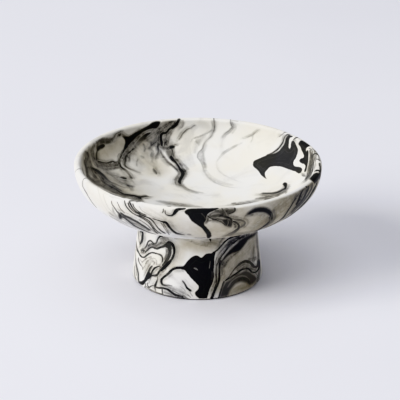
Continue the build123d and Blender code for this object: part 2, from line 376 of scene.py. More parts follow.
    "rim_hair_b": (INK, 0.45, 0.65, [(312, 148.5), (314.5, 151), (315.8, 155), (316, 160)]),
    "rim_hair_c": (INK, 0.45, 0.65, [(315, 150.5), (317.5, 153.5), (318.8, 157), (319.3, 161)]),
    "rim_hair_d": (INK, 0.45, 0.6, [(310.5, 152), (311, 158), (311, 166), (310.5, 173)]),
    "rim_edge": (INK, 0.9, 0.9, [(319.5, 163), (320.3, 168), (320.3, 174), (319.3, 180)]),
    "thick_vein_head": (
        MASS, 1.0, 0.97,
        [(129, 136.3), (133, 133.8), (137, 131.3), (141, 129.3), (145, 127.3), (148.5, 125.4), (151.5, 123),
         (154.5, 121.5), (158, 121), (160.2, 121.8), (160, 124.2), (158.6, 126.9), (156, 128.6), (152, 128.8),
         (148, 129.8), (144, 131.8), (140, 134.3), (136, 137.4), (132.5, 141.2), (129.5, 145), (126, 146)]),
    # Painted warm shade, in the lip's shade on the inner wall and on the left of the floor.
    "back_tan_shade": (TAN_AND_SHADE, 14, 0.55, [(172, 124), (156, 134), (145, 145)]),
    "floor_tan_shade": (TAN_AND_SHADE, 15, 0.28, [(104, 168), (122, 178), (142, 190)]),
    "mid_haze": (SMOKE, (5, 8, 7), 0.17, [(141, 147), (148, 153), (152, 163)]),
    "mid_haze_b": (SMOKE, (4, 6, 4), 0.08, [(133, 152), (134, 162), (140, 170)]),
    "rim_fill": (SMOKE, (2.5, 3.6, 3.4, 2.4), 0.42, [(310.5, 151), (311.5, 158), (311, 167), (309, 176)]),
    "front_lip_line": (INK, 0.6, 0.5, [(238, 205), (244, 204), (250, 202.6)]),
    "right_floor_trace": (SMOKE, 1.6, 0.3, [(300, 172), (305, 176), (309, 178.5)]),
    # Partly marbling grey and partly a painted shadow of a ring and chain that are not modelled.
    "front_floor_grey_and_shadow": (
        SMOKE, (1.6, 3.0, 3.2, 3.0, 1.8), (0.12, 0.36, 0.42, 0.4, 0.24),
        [(159, 200.8), (169, 203.4), (180, 205.4), (190, 206.6), (200, 207.2)]),
    "mid_haze_c": (SMOKE, (3, 4, 3), 0.26, [(158, 149), (162, 157), (168, 165)]),
    # Also partly a painted shadow of the ring and chain that are not modelled.
    "front_floor_grey_and_shadow_b": (
        SMOKE, (1.6, 2.8, 3.0, 1.6), (0.1, 0.34, 0.32, 0.08),
        [(270, 196.6), (256, 200.8), (242, 204.3), (228, 206.7)]),
    "cream_shade": (SMOKE, (4, 6, 4), 0.14, [(134, 154), (138, 160), (143, 166)]),
    "cell_corner_fill": (SMOKE, (2.0, 2.8, 2.4), 0.6, [(96.5, 147), (101, 143.5), (110, 142)]),
    "long_vein_end": (
        INK, (0.4, 0.45, 0.4, 0.3), (0.4, 0.34, 0.22, 0.08),
        [(204.3, 170.5), (207, 175.5), (212, 180.5), (220, 184.5), (230, 187.2), (241, 188)]),
    "long_end_shade": (SMOKE, (1.5, 3.2, 3.0, 1.5), 0.14, [(206, 170), (211, 177), (220, 182), (232, 185)]),
    "long_shade_low": (SMOKE, (1.5, 3.2, 2.6), 0.2, [(203, 151), (203.5, 158), (205.5, 167)]),
    "long_shade_high": (SMOKE, (2.5, 4.5, 4.5, 3.0), 0.15, [(208, 131), (201, 139), (196, 145), (195, 152)]),
    "right_band_end": (
        INK, (0.5, 0.45, 0.4), (0.1, 0.24, 0.2, 0.08),
        [(216.5, 161), (216.8, 167), (221, 173), (230, 178), (242, 182.5)]),
    "right_haze": (SMOKE, (3, 5, 4), 0.1, [(226, 134), (221, 142), (222, 152)]),
    "mid_back_shade": (SMOKE, (6, 9, 7), 0.1, [(186, 136), (187, 150), (191, 164)]),
}

OUTSIDE = {
    "left_hair": (
        INK, 0.5, 0.55,
        [(83, 180), (82.3, 183), (82.5, 186), (84.5, 190), (86.5, 193), (88, 196), (90.5, 200),
         (93, 203.5), (96.5, 207.5)]),
    "left_lip_hair": (INK, 0.4, 0.5, [(83, 179.8), (84.5, 178.5), (85.5, 178.2)]),
    "slant_hair_a": (
        INK, (0.5, 0.7, 0.8), (0.5, 0.65, 0.75),
        [(111.5, 201), (112, 204), (113.5, 206.5), (115, 208.5), (116.3, 210.5), (118.5, 213)]),
    "slant_hair_b": (
        INK, 0.5, 0.5, [(117, 202), (118.5, 205), (120, 208), (122, 210.5), (124.5, 213)]),
    "slant_mass": (
        MASS, 1.4, 0.97,
        [(118.5, 212), (121, 214), (122.5, 216), (122.8, 217.8), (121.5, 219.3), (119.8, 219), (118.6, 217.5),
         (118.2, 214.8)]),
    "slant_upper": (
        INK, (0.8, 1.1, 1.0, 1.0, 0.9, 0.8), 0.84,
        [(121, 213), (124, 215.3), (127.5, 217), (131, 218.8), (135, 221), (139, 223.2), (143, 225.6),
         (147, 228.2), (149.5, 229.8)]),
    "slant_lower": (
        INK, (0.9, 0.9, 0.8, 0.8, 0.7, 0.7), 0.84,
        [(122.5, 216.5), (125, 218.3), (128, 220.6), (131.5, 223.4), (135, 226), (139, 228), (144, 230.3),
         (149, 232.3), (154.5, 234)]),
    "slant_grey": (
        SMOKE, (1.0, 2.2, 2.2, 1.8), 0.55,
        [(122, 215), (128, 219.3), (134, 223.3), (141, 227), (147, 230)]),
    "edge_bit": (
        INK, 0.5, 0.4, [(110, 216), (115, 219), (120, 221.8), (125, 224.5), (131, 227.3), (136, 229.3)]),
    "bundle_a": (
        INK, 0.65, 0.88,
        [(124.6, 200.8), (125.2, 204), (127, 207.5), (129.5, 210.3), (132.5, 212.8), (136, 214.9), (140, 217),
         (144, 219.2), (147.5, 221.5), (150.3, 224), (152.5, 227.5), (154.5, 230.5), (157.5, 233.3)]),
    "bundle_b": (
        INK, (0.6, 0.7, 0.75, 0.7, 0.7, 0.7), 0.9,
        [(128.3, 203), (129, 206), (131.5, 209.3), (135, 212), (138.5, 213.8), (142, 215.3), (146, 216.8),
         (149.8, 218.3), (152.8, 220.8), (155.3, 224), (157.3, 227.3), (160.5, 230.3), (165, 233.3)]),
    "bundle_c": (
        INK, (0.7, 0.8, 0.7), 0.95,
        [(129.5, 201.8), (130.5, 204.8), (132.8, 208.2), (135.5, 211), (138, 212.8), (140.5, 214)]),
    "bundle_top": (INK, 0.9, 0.5, [(129, 201.5), (131, 200.8), (135, 200.5), (139, 201.5)]),
    "bundle_faint": (
        INK, 0.5, 0.28,
        [(139.5, 206), (140.5, 209), (143.5, 211.8), (147, 213.6), (151, 215.5), (155, 217.5)]),
    "bundle_grey": (
        SMOKE, (1.0, 1.6, 1.6, 1.2), 0.14,
        [(130, 207.5), (136, 213), (143, 217.3), (150, 221.5), (155, 227)]),
    "valley_vein": (
        INK, (0.5, 0.6, 0.7, 1.3, 1.5, 1.2, 1.1, 1.0, 0.6), (0.9, 0.95, 0.97, 0.97, 0.97, 0.9, 0.5),
        [(153, 218.6), (157, 220), (160.5, 221.3), (163.5, 222.2), (166, 222.8), (168, 224.8), (169.7, 227.3),
         (171.8, 229.8), (174.3, 232), (177, 233.5), (180.5, 234.3), (184, 234.8)]),
    "valley_side": (
        INK, 0.55, 0.7, [(163, 223.3), (165, 226), (166.7, 229), (168, 232), (169.2, 234.6)]),
    "tick_a": (INK, 0.6, 0.68, [(163.5, 209), (163.7, 211), (162.3, 213)]),
    "tick_b": (INK, 0.6, 0.75, [(165.3, 210.5), (165.5, 213), (166.3, 214.5)]),
    "wave_vein": (
        INK, (0.6, 0.8, 1.1, 1.7, 1.8, 1.4, 1.1, 0.9), 0.97,
        [(166.5, 214.6), (168.5, 215.2), (170.5, 215.4), (172.8, 214.8), (174.2, 213.3), (175.5, 211.5),
         (177.2, 210), (179.5, 209), (182, 208.8), (185, 208.6)]),
    "front_mass": (
        MASS, 0.7, 0.97,
        [(184.3, 212), (185.3, 210.3), (188, 209), (192, 208.5), (200, 208.3), (210, 208.2), (219, 208.2),
         (216, 210), (212.5, 211.5), (209.5, 213), (207.8, 214.5), (207, 217), (206.2, 220), (204.8, 222.3),
         (204, 224.2), (206.3, 227), (209, 230), (211, 233), (211.4, 235.8), (210.3, 237.8), (207.3, 238.2),
         (206.5, 234.8), (205, 232), (203, 229.5), (201, 227.5), (198, 225.5), (195, 223.5),
         (192.5, 221.5), (190, 218.5), (188, 215.5), (185.5, 213.6)]),
    "front_mass_hair": (
        INK, 0.7, (0.95, 0.9, 0.85),
        [(207.5, 216), (209.5, 217.8), (213, 218.6), (217, 219), (221, 219.4), (224, 220.3)]),
    "seam_line": (INK, 0.4, 0.6, [(205, 237.5), (200, 238), (195, 237.8)]),
    "seam_smudge": (INK, 0.7, 0.4, [(188, 234.3), (190, 234.8)]),
    "lobe_grey_a": (SMOKE, (2.0, 3.0, 3.0, 2.5), 0.75, [(215, 211), (220, 211), (224, 212), (228, 210.5)]),
    "lobe_dark_a": (
        INK, (0.8, 1.2, 1.0), 0.85,
        [(221.8, 208.6), (223.3, 211), (223, 213.5), (221, 215.6), (218.5, 216.3)]),
    "hook_small": (
        INK, (0.9, 1.0, 0.9), 0.95,
        [(229.3, 213.7), (231.5, 212.9), (233.8, 211.8), (235.2, 210.2), (234.6, 208.4)]),
    "hook_dot": (INK, 1.1, 0.8, [(226, 208.8), (228.3, 209.8)]),
    "lobe_edge": (
        INK, (0.9, 1.3, 1.4, 1.2), 0.92,
        [(219.5, 215.3), (223, 216.3), (226.5, 217.3), (229.5, 218.3), (231, 220), (231, 223), (230.8, 226)]),
    "lobe_mass": (
        MASS, 2.2, 0.88,
        [(222.5, 218.8), (227, 218), (230.3, 219), (231.8, 222), (232, 225), (231.2, 227.2), (228.5, 227),
         (225.5, 225.8), (223, 223.5), (221.5, 221)]),
    "lobe_hair": (INK, 0.7, 0.8, [(212, 219.3), (216, 220), (220, 221.5), (223.5, 223.8), (226, 225.5)]),
    "swirl_arc": (
        INK, (0.9, 1.3, 1.5, 1.4, 1.2, 0.9), (0.85, 0.85, 0.8, 0.68, 0.5, 0.35),
        [(233.3, 221.3), (235.8, 222), (237.8, 223.6), (238.8, 226), (238.3, 228.3), (236.3, 230.3),
         (234, 232), (231, 233.6), (228, 235), (224, 236.5)]),
    "swirl_outer": (
        INK, (0.7, 1.1, 1.2, 0.9), 0.64,
        [(231.5, 218.8), (235, 219.3), (239, 219.8), (242.5, 220.5), (244.6, 222), (244.3, 224.3),
         (242.3, 226.3), (240.3, 227.3)]),
    "arch_mass": (
        MASS, 1.7, 0.92,
        [(246, 214.8), (247.5, 212.8), (250, 210.8), (253.5, 208.8), (257, 207.6), (261, 207), (265, 207.2),
         (269, 208.6), (271.8, 211.2), (273.4, 214.5), (273.6, 218), (272, 220.8), (270.4, 221.2),
         (270, 218.5), (268.8, 215.8), (266.5, 213.8), (263.5, 212.8), (260, 212.4), (256, 212.7),
         (252.5, 213.8), (249, 215.2)]),
    "arch_tail": (
        INK, (0.8, 0.9, 0.8), 0.92,
        [(269.3, 217), (269.9, 219.3), (269, 221.8), (267, 224), (264.5, 226), (261.5, 228), (258, 230),
         (255.5, 231.5)]),
    "arch_side": (INK, 0.6, 0.6, [(273, 218.5), (271.5, 221.5), (268.5, 224.8), (265, 227.3)]),
    "arch_light": (LIGHT, 0.4, 0.35, [(271.2, 213), (272, 217.5)]),
    "right_vein": (
        INK, (0.6, 0.8, 0.7, 0.6), 0.88,
        [(296, 197.5), (294, 201), (291.8, 204.3), (289.8, 207.8), (287.8, 211), (285.5, 214.3),
         (283.3, 217.3), (280.5, 219.8), (277, 222), (273, 224.2), (269, 226.2), (265, 228)]),
    "right_short": (
        INK, (0.8, 1.1, 1.0), 0.9,
        [(302.5, 190.5), (301, 193.5), (299.6, 197), (298.4, 200.5), (296.8, 204)]),
    "right_inner": (
        INK, (0.8, 1.1, 1.0, 0.8), 0.85,
        [(308.5, 186.5), (308, 189.5), (306, 193.3), (304, 197.3), (301.3, 201.3), (298, 205), (294.5, 208.8),
         (291.5, 212)]),
    "right_light": (LIGHT, 0.35, 0.35, [(310.6, 190), (308, 194.5), (305, 199), (301, 203.8), (297, 208)]),
    "right_band": (
        INK, (1.0, 1.2, 1.2, 1.0), 0.95,
        [(317, 183), (315.2, 187.5), (312.5, 191.8), (309.8, 196.3), (306.8, 200.5), (303, 204.8),
         (298.8, 208.8), (294.3, 212.5), (290, 215.8), (286, 218.3)]),
    "right_spot": (INK, 1.0, 0.9, [(306, 187), (307, 187.2)]),
    "lip_smudge": (INK, 0.6, 0.55, [(168, 206), (172, 206.3)]),
    # Painted warm shade on the bowl's side turned from the light, and low on its belly.
    "right_tan_shade": (TAN_AND_SHADE, 22, 0.95, [(246, 232), (268, 220), (288, 205), (304, 192), (313, 184)]),
    "mid_tan_shade": (TAN_AND_SHADE, 9, 0.4, [(212, 230), (236, 228)]),
    "slant_left": (SMOKE, (1.2, 2.2, 1.2), 0.4, [(112.5, 208), (114.5, 213), (118, 217)]),
    "bundle_d": (
        INK, 0.5, 0.85, [(132.6, 204), (134, 207), (136.3, 209.8), (139, 212), (142, 213.8), (146, 215.2)]),
    "bundle_e": (
        INK, 0.6, 0.85,
        [(139, 215.5), (143, 217.3), (147, 219.5), (150, 221.8), (152.3, 225), (154.5, 228.5), (157, 231),
         (160.5, 233.5)]),
    "bundle_f": (
        INK, 0.45, 0.65,
        [(139.5, 219.8), (144, 222.5), (148, 225.5), (151, 228.8), (154, 231.5), (157, 233.5)]),
    "valley_side_b": (INK, 0.5, 0.6, [(160.5, 222.5), (163, 226), (165.3, 229.5), (167.5, 233)]),
    "valley_grey": (SMOKE, (1.0, 1.8, 1.5), 0.35, [(163, 224.5), (166.5, 229), (170, 233)]),
    "front_mass_side": (SMOKE, 2.2, 0.8, [(208, 216), (207.5, 219.5), (206, 223)]),
    "front_mass_streak": (LIGHT, 0.6, 0.15, [(201.5, 213.5), (204, 216), (205.5, 219)]),
    "lobe_grey_b": (SMOKE, (1.5, 2.5, 2.5), 0.6, [(210, 215.3), (216, 215), (222, 216)]),
    "lobe_grey_c": (
        SMOKE, (1.5, 2.5, 2.5, 2.0), 0.62,
        [(209, 220.5), (215, 220.8), (221, 221.5), (226, 223)]),
    "hook_fill": (SMOKE, 2.2, 0.6, [(226, 211.5), (229, 211.5), (232, 210)]),
    "swirl_fill": (SMOKE, 2.6, 0.35, [(238.5, 221.5), (242.5, 223), (242, 225.5)]),
    "swirl_halo": (
        SMOKE, 1.1, 0.35,
        [(236, 217.3), (242, 218.2), (246.5, 219.3), (248.3, 221.8), (247, 225), (243.5, 228)]),
    "swirl_inner": (SMOKE, 2.2, 0.6, [(232.5, 222.5), (235, 225), (235.5, 227.5)]),
    "swirl_top": (SMOKE, 2.0, 0.4, [(231, 216), (237, 217.5)]),
    "arch_outer": (SMOKE, 1.9, 0.6, [(273.5, 210.5), (275, 215), (273.5, 219.5), (270.5, 223.5)]),
    "arch_left": (SMOKE, (1.5, 2.2, 1.5), 0.6, [(245.5, 215.8), (248.5, 215.3), (252, 214.8)]),
    "arch_under": (SMOKE, 2.2, 0.4, [(252, 215), (258, 214.3), (264, 215)]),
    "right_inner_b": (
        INK, (0.8, 0.8, 0.7), 0.75,
        [(312.3, 184.5), (311.3, 189), (309, 193), (306.5, 196.8), (303.5, 200.8), (300, 204.8), (296, 209),
         (292, 213)]),
    "right_grey": (
        SMOKE, (2.5, 4.0, 4.0, 2.5), 0.42,
        [(312, 185), (308, 192), (303, 199), (297, 206.5), (291, 213)]),
    # Painted warm shade on the bowl's side turned from the light.
    "right_brown_shade": (SMOKE, (1.5, 2.5, 2.5), 0.35, [(304, 188), (300, 192), (296, 197)]),
    "right_hair_a": (INK, 0.4, 0.4, [(297, 202.5), (293.5, 207), (290.5, 211), (287, 215.3), (283.5, 219)]),
    "right_hair_b": (INK, 0.4, 0.3, [(288.5, 213.5), (285, 217.5), (281, 221)]),
    "lobe_tan": (TAN_AND_SHADE, 6, 0.35, [(240, 209), (243, 214)]),
    "left_faint": (INK, 0.5, 0.14, [(97, 184), (99, 193), (102.5, 203), (107.5, 211)]),
    "left_faint_b": (INK, 0.5, 0.2, [(103, 194), (105.5, 202), (109.5, 209), (113, 213)]),
    "right_shade": (SMOKE, (6, 11, 13, 9), 0.27, [(258, 226), (270, 218), (284, 207), (302, 193)]),
    "edge_smear": (SMOKE, (1.5, 2.6, 1.5), 0.36, [(111, 214), (117.5, 219), (126, 223.5)]),
    "lobe_shade": (
        MASS, 2.6, 0.74,
        [(206.5, 216), (208.5, 213.6), (213, 211), (219, 208.9), (228, 208.3), (234.5, 208.5), (235.3, 211),
         (232.5, 213.6), (229.8, 215.6), (231, 219.5), (227, 219.5), (221, 218.8), (214, 218.6),
         (208.5, 218.4)]),
    "lobe_light_a": (LIGHT, (0.5, 0.9, 0.5), 0.36, [(211, 215.3), (215, 213.6), (220, 213.6)]),
    "lobe_light_b": (LIGHT, (0.4, 0.6, 0.4), 0.3, [(224.5, 210.5), (226, 213), (227.5, 216)]),
    "lobe_light_c": (LIGHT, (0.4, 0.7, 0.4), 0.28, [(216, 217.2), (221, 217.6), (226, 219.3)]),
    "lobe_light_d": (LIGHT, (0.4, 0.6, 0.4), 0.3, [(227.8, 219.5), (228.3, 223), (227.5, 226)]),
    "right_hair_c": (LIGHT, 0.4, 0.5, [(310.3, 187.5), (307.3, 193), (303.5, 199), (299, 205), (294, 210.5)]),
    "right_hair_d": (
        LIGHT, 0.4, 0.45,
        [(313.8, 187.5), (310.5, 193.2), (306.8, 199), (302, 205), (297, 210)]),
    "right_hair_e": (INK, 0.4, 0.6, [(303.6, 192), (302, 196), (299.5, 201), (296, 205.5), (292, 210)]),
    # Painted warm shade low on the belly, under the bowl.
    "front_tan_shade": (TAN_AND_SHADE, 13, 0.5, [(172, 222), (184, 229), (198, 232)]),
    "belly_shade": (
        SMOKE, (2.0, 3.4, 3.4, 2.0), 0.42,
        [(226, 235.5), (238, 234.2), (250, 232.3), (262, 229.2)]),
    "left_belly_shade": (SMOKE, (5, 8, 8, 5), 0.12, [(140, 207), (151, 213), (163, 220), (173, 227)]),
    "left_side_shade": (SMOKE, (4, 7, 7, 5), 0.08, [(84, 186), (92, 197), (103, 207), (113, 214)]),
}

FOOT = {
    "top_loop": (
        INK, (1.1, 1.3, 1.2, 1.1, 1.1, 1.1), 0.97,
        [(140, 231.3), (141.6, 231.3), (142.6, 233), (142.6, 236), (142.1, 240), (141, 242.5), (139.9, 244)]),
    "top_loop_side": (INK, 0.6, 0.5, [(138, 231), (138.5, 235), (138.8, 239), (139.3, 242), (140, 244)]),
    "border": (
        INK, (0.4, 0.5, 0.6, 0.7, 0.9, 0.8, 0.8, 0.9, 0.7, 0.7, 0.9, 1.0, 0.8),
        (0.35, 0.45, 0.6, 0.75, 0.8, 0.92, 0.9, 0.9, 0.9, 0.85, 0.85, 0.9, 0.9, 0.8),
        [(136.2, 232), (136.2, 238), (136.3, 244), (137, 249), (138.5, 252.5), (140.4, 255.5),
         (142.3, 257.3), (144.5, 257.3), (146.5, 255.8), (149, 253.7), (151.5, 252.5), (154, 252.6),
         (157, 253.5), (160, 254.8), (161.8, 256.5), (162.6, 258.8), (162, 261.5)]),
    "inner_arc_a": (SMOKE, 0.9, 0.5, [(142, 262.3), (145, 259.5), (148, 257.7), (151, 257)]),
    "inner_arc_b": (
        SMOKE, 1.0, 0.42,
        [(145.5, 264), (147, 261.5), (149.5, 259.5), (152, 258.5), (155, 259), (156.5, 261), (156.5, 264)]),
    "inner_arc_c": (SMOKE, 1.2, 0.34, [(151, 261), (153, 261), (154.5, 262.5), (154, 264)]),
    "inner_v_left": (
        INK, (0.7, 0.7, 0.6, 0.6), (0.65, 0.6, 0.5, 0.45),
        [(138.4, 258.5), (138.8, 261.5), (140.5, 264.8), (142.2, 267.3), (142.7, 269.5)]),
    "inner_v_right": (INK, 0.5, 0.45, [(142.7, 269), (144.5, 266.5), (147, 263.5), (149, 261.3)]),
    "knot": (
        MASS, 0.8, 0.85,
        [(141, 249.5), (143, 249), (145, 249.5), (145, 251.3), (143.8, 252.8), (142, 252.6), (141, 251.2)]),
    "knot_light": (LIGHT, 0.5, 0.7, [(142, 251.3), (143, 251.4)]),
    "wiggle_upper": (
        INK, (0.8, 0.8, 0.8, 0.8, 0.8, 0.8, 0.9, 0.9, 1.0, 1.1), (0.8, 0.8, 0.85, 0.9, 0.9, 0.85, 0.95, 1.0),
        [(142, 249.5), (144.5, 248.3), (146.5, 245.8), (147.5, 243), (149, 241.1), (150.8, 240.9),
         (152.3, 242), (153.3, 243.3), (155, 243.8), (156.3, 242.8), (157.3, 240.5), (158.5, 238.3),
         (160, 236.6), (162.3, 236.1)]),
    "wiggle_fill": (SMOKE, (1.6, 3.0, 3.2, 3.0), 0.66, [(148, 246), (152, 244.6), (156, 246), (161, 243)]),
    "wiggle_line": (
        INK, 0.6, 0.6,
        [(146.3, 250.5), (148.3, 247.8), (150.5, 245.8), (153, 245.5), (155.5, 246)]),
    "top_grey": (SMOKE, (2.0, 3.2, 2.4), 0.66, [(160.5, 239), (163.5, 238.8), (167.5, 239)]),
    "wiggle_lower": (
        INK, (0.7, 0.8, 0.9, 1.0, 1.1, 1.2, 1.5, 2.0), 0.9,
        [(145, 252.5), (147.5, 250.3), (150, 248), (152.5, 247.1), (155, 248), (157.5, 248.3), (160, 247.5),
         (163, 246.4), (165, 245.6), (167.5, 245)]),
    "fold_inner": (
        INK, (1.5, 1.7, 1.8, 1.7, 1.7, 1.6, 1.5), 0.86,
        [(165.5, 246), (168.5, 247), (169.8, 250), (169.6, 253.5), (168.5, 257), (166.8, 260), (164.8, 262.8),
         (162.5, 265.3)]),
    "fold_soft": (SMOKE, 2.0, 0.6, [(167, 250), (167, 253), (166.3, 256), (164.8, 259)]),
    "fold_outer": (
        INK, (1.1, 1.4, 1.3, 1.3, 1.4, 1.4, 1.4, 1.3, 1.6, 1.8, 1.8, 1.4), 1.0,
        [(166, 243.8), (168, 242.3), (170, 242.3), (172, 243.8), (173.8, 246.5), (174.5, 249.5),
         (174.3, 252.5), (173.6, 255.5), (172.2, 258.5), (170.2, 261.3), (167.5, 264), (165, 266.3),
         (162.8, 268.5), (161.3, 270.5)]),
    "fold_streak": (
        LIGHT, (0.5, 0.7, 0.7, 0.6, 0.5), 0.26,
        [(171.5, 245.8), (172.1, 249), (171.9, 252), (171.1, 255.3), (169.8, 258), (168, 260.7), (166, 263)]),
    "fold_streak_b": (LIGHT, 0.5, 0.3, [(166, 258.5), (164.2, 261.5), (161.8, 264)]),
    "edge_line": (
        INK, (0.6, 0.6, 0.8, 0.8, 0.8, 0.8), (0.4, 0.5, 0.75, 0.75, 0.75),
        [(135.4, 250), (135.4, 256), (135.8, 262), (136.5, 266), (137.5, 270), (138.3, 274), (138.3, 278),
         (138.8, 282)]),
    "edge_line_b": (INK, 0.6, 0.5, [(134.6, 267), (134.3, 271), (134.6, 275), (135.4, 279)]),
    "edge_loop": (INK, 0.5, 0.4, [(136.6, 268), (136, 271), (136.2, 275)]),
    "tail_upper": (
        INK, (0.7, 0.9, 1.0, 1.0, 1.1, 1.2), 0.95,
        [(160, 266), (157, 266.8), (154.3, 268.5), (152.3, 271), (151.3, 273.5), (150, 276), (148, 278.5)]),
    "tail_hair": (
        INK, (0.7, 1.1, 1.3, 1.3), 0.86,
        [(152.3, 266), (150, 268.8), (148.7, 271.8), (147, 275), (145.3, 278)]),
    "tail_lower": (
        INK, (1.2, 1.2, 1.2, 1.3, 1.2, 1.1, 0.9), 0.92,
        [(162.3, 267.5), (160.8, 269.8), (159, 272), (157.3, 274.3), (155.3, 275.5), (153, 275.4),
         (151.2, 275.8), (149.8, 278)]),
    "tail_grey": (SMOKE, 1.8, 0.35, [(157.5, 269), (155.3, 271.3), (153.3, 273.3)]),
    "corner_mass": (
        MASS, 0.4, 0.94,
        [(150.3, 273), (150.8, 275.5), (149.3, 278), (147.3, 280.5), (145.5, 282.5), (144, 284.5),
         (142, 285.3), (140, 284), (138.6, 282.5), (139.3, 281.2), (141.5, 281), (143.5, 279.8),
         (144.8, 277), (146, 274.5), (147.5, 272.5), (149, 271.8)]),
    "corner_loop": (
        INK, (0.5, 0.5, 0.6, 0.6, 0.6, 0.7), 0.85,
        [(147.3, 283), (147.5, 285.5), (148.8, 287.2), (150.8, 286.3), (152.5, 285.5), (154.5, 286)]),
    "post": (
        INK, (0.7, 0.8, 1.0, 1.2, 1.4, 1.0, 0.7), (0.6, 0.75, 0.9, 0.97, 0.97, 0.8, 0.6),
        [(157.5, 276.5), (157.4, 279.5), (156.5, 282.5), (155.3, 285), (154.8, 287), (155.2, 290.3)]),
    "base_vein": (
        INK, (0.9, 0.9, 1.0, 1.0, 1.1, 1.3, 1.4, 1.2, 0.9), 0.93,
        [(155, 287), (158, 287.8), (161.5, 288), (165, 288.6), (168, 289.5), (170, 291.2), (172.5, 293.2),
         (175.5, 294.9), (179, 295.8), (183, 297)]),
    "base_drop": (INK, 0.8, 0.7, [(162, 289), (162.4, 292), (162.5, 294.3)]),
    "base_grey": (SMOKE, 2.2, 0.36, [(165, 292), (169, 293.5), (174, 296.5)]),
    "base_strata_a": (
        INK, 0.65, (0.5, 0.6, 0.65, 0.8, 0.9),
        [(146, 286.5), (151, 289.8), (156, 292.3), (161, 294), (166, 295.4), (171, 296.5), (176, 297.3),
         (181, 298), (185, 298.4)]),
    "base_strata_b": (INK, 0.5, 0.5, [(164, 292.5), (168, 294), (173, 296), (178, 297)]),
    "base_strata_c": (INK, 0.6, 0.6, [(172, 290.3), (176, 292.3), (180, 294.3), (184, 296.5)]),
    "base_strata_d": (INK, 0.8, 0.6, [(182, 295), (184, 296), (186, 297.8), (187.5, 299)]),
    "base_strata_e": (INK, 0.6, 0.5, [(187.5, 294.5), (189, 296), (190.5, 297.5)]),
    "base_cloud": (SMOKE, (2.5, 3.5, 3.5, 2.0), 0.28, [(166, 286.5), (173, 289), (180, 291), (187, 295)]),
    "loop": (
        INK, (1.5, 1.4, 1.4, 1.3, 1.3, 1.2, 1.2, 1.3, 1.1, 0.8, 0.7),
        (1, 1, 1, 1, 1, 1, 1, 0.95, 0.85, 0.6, 0.4),
        [(183, 267.8), (177, 268), (173.5, 269), (170.8, 271), (168.5, 273.5), (165.8, 275.8), (163, 277.8),
         (161.5, 280), (161.4, 282.5), (162.6, 284.6), (165, 285.5), (168.5, 285.6), (172, 286.2)]),
    "black_mass": (
        MASS, 0, 1.0,
        [(181, 267.6), (184, 265.8), (186.3, 262.6), (189, 259.8), (192, 257.4), (195, 255.9), (197.5, 255.8),
         (199.5, 257), (201.3, 257.8), (203.3, 256.6), (205.3, 254.4), (208.5, 253.4), (212, 253.2),
         (215.8, 251.6), (215.2, 254), (214.3, 257), (214.2, 262), (213.8, 270), (213.9, 277), (213.1, 282),
         (211.4, 286), (209.6, 290), (208.1, 294.5), (206.9, 299), (206.5, 301), (200.5, 301),
         (198.3, 298), (196, 295.8), (195, 293.5), (196, 291.3), (198.2, 289.3), (198.8, 287),
         (197.5, 284.5), (195, 281.8), (192, 279), (189.5, 276), (187, 272.8), (184.5, 270), (181, 269.3)]),
    "mass_fleck": (LIGHT, (0.6, 1.0, 0.6), 0.5, [(194, 268), (195.5, 268.5), (197.5, 270)]),
    "mass_sliver": (LIGHT, 0.5, 0.4, [(210.3, 261), (210, 264.5), (209.5, 268.5)]),
    "mass_sliver_b": (LIGHT, 0.4, 0.25, [(212, 271), (212.3, 276), (212, 280)]),
    "small_hook": (
        INK, (0.7, 1.0, 1.0, 0.9, 1.0, 1.2), (0.85, 0.9, 0.85, 0.9, 1.0, 1.0, 1.0),
        [(182.5, 281), (184.3, 283.5), (185.7, 286), (187, 288.3), (189, 289.7), (190.8, 290.7)]),
    "small_hook_tail": (INK, 0.6, 0.4, [(189.8, 291.5), (191, 294), (192.5, 296)]),
    "crown_shade_a": (
        SMOKE, 1.4, 0.3, [(192, 241), (195, 243), (199, 244.3), (203, 245.3), (207, 245.8)]),
    "crown_shade_b": (SMOKE, 0.9, 0.3, [(175, 238.5), (179, 238.5), (185, 239.3), (191.5, 241.5)]),
    "seam_spot": (INK, (1.4, 0.9, 0.4), 0.97, [(210, 239), (210.5, 240.2), (210.8, 242)]),
    # Painted shade under the bowl's overhang, along the top of the foot, in the next two entries.
    "crown_dark_shade": (SMOKE, 2.0, 0.45, [(217, 238), (221, 237.8), (224, 238)]),
    "crown_side": (SMOKE, 1.5, 0.4, [(222.5, 239), (220, 242.5), (218.5, 246)]),
    "stripe_a": (
        INK, (0.9, 0.9, 1.0, 0.9, 0.8, 0.8, 0.8, 0.9), 1.0,
        [(241, 234.8), (235.5, 236.2), (232, 237.2), (229, 238.7), (226, 240.8), (223.5, 243.2), (221, 246),
         (218.7, 248.8), (216, 251.2), (213, 253)]),
    "stripe_fill": (
        SMOKE, (2.5, 2.5, 2.0, 1.5), (0.8, 0.75, 0.5, 0.35),
        [(239, 237.5), (232, 240.5), (226, 246), (220, 252.5)]),
    "stripe_b": (
        INK, (0.8, 0.8, 0.8, 0.7, 0.6, 0.5, 0.5, 0.6, 0.6, 0.7), 0.95,
        [(243, 236.3), (238, 239.6), (234, 242.4), (230.5, 245.3), (227.5, 248.3), (225, 251.5),
         (222.8, 254.8), (220.3, 258.5), (218.4, 262), (217, 266), (216.3, 270), (216.3, 275), (216.6, 280),
         (215.8, 284.5), (214, 288.5)]),
    "stripe_light": (
        LIGHT, (0.4, 0.5, 0.5, 0.4), 0.32,
        [(236, 243.3), (232, 246.5), (228.5, 250), (225.5, 253.8), (222.8, 257.8), (220.3, 262)]),
    "slant_mass": (
        MASS, 2.0, 0.97,
        [(239, 240.5), (244.5, 237), (249, 234.8), (258, 231.5), (256, 234.5), (252.5, 237.5), (248.5, 240),
         (245.8, 243.5), (243.2, 247), (240.5, 250), (236.5, 252.5), (232, 254), (228.5, 256), (225.5, 259),
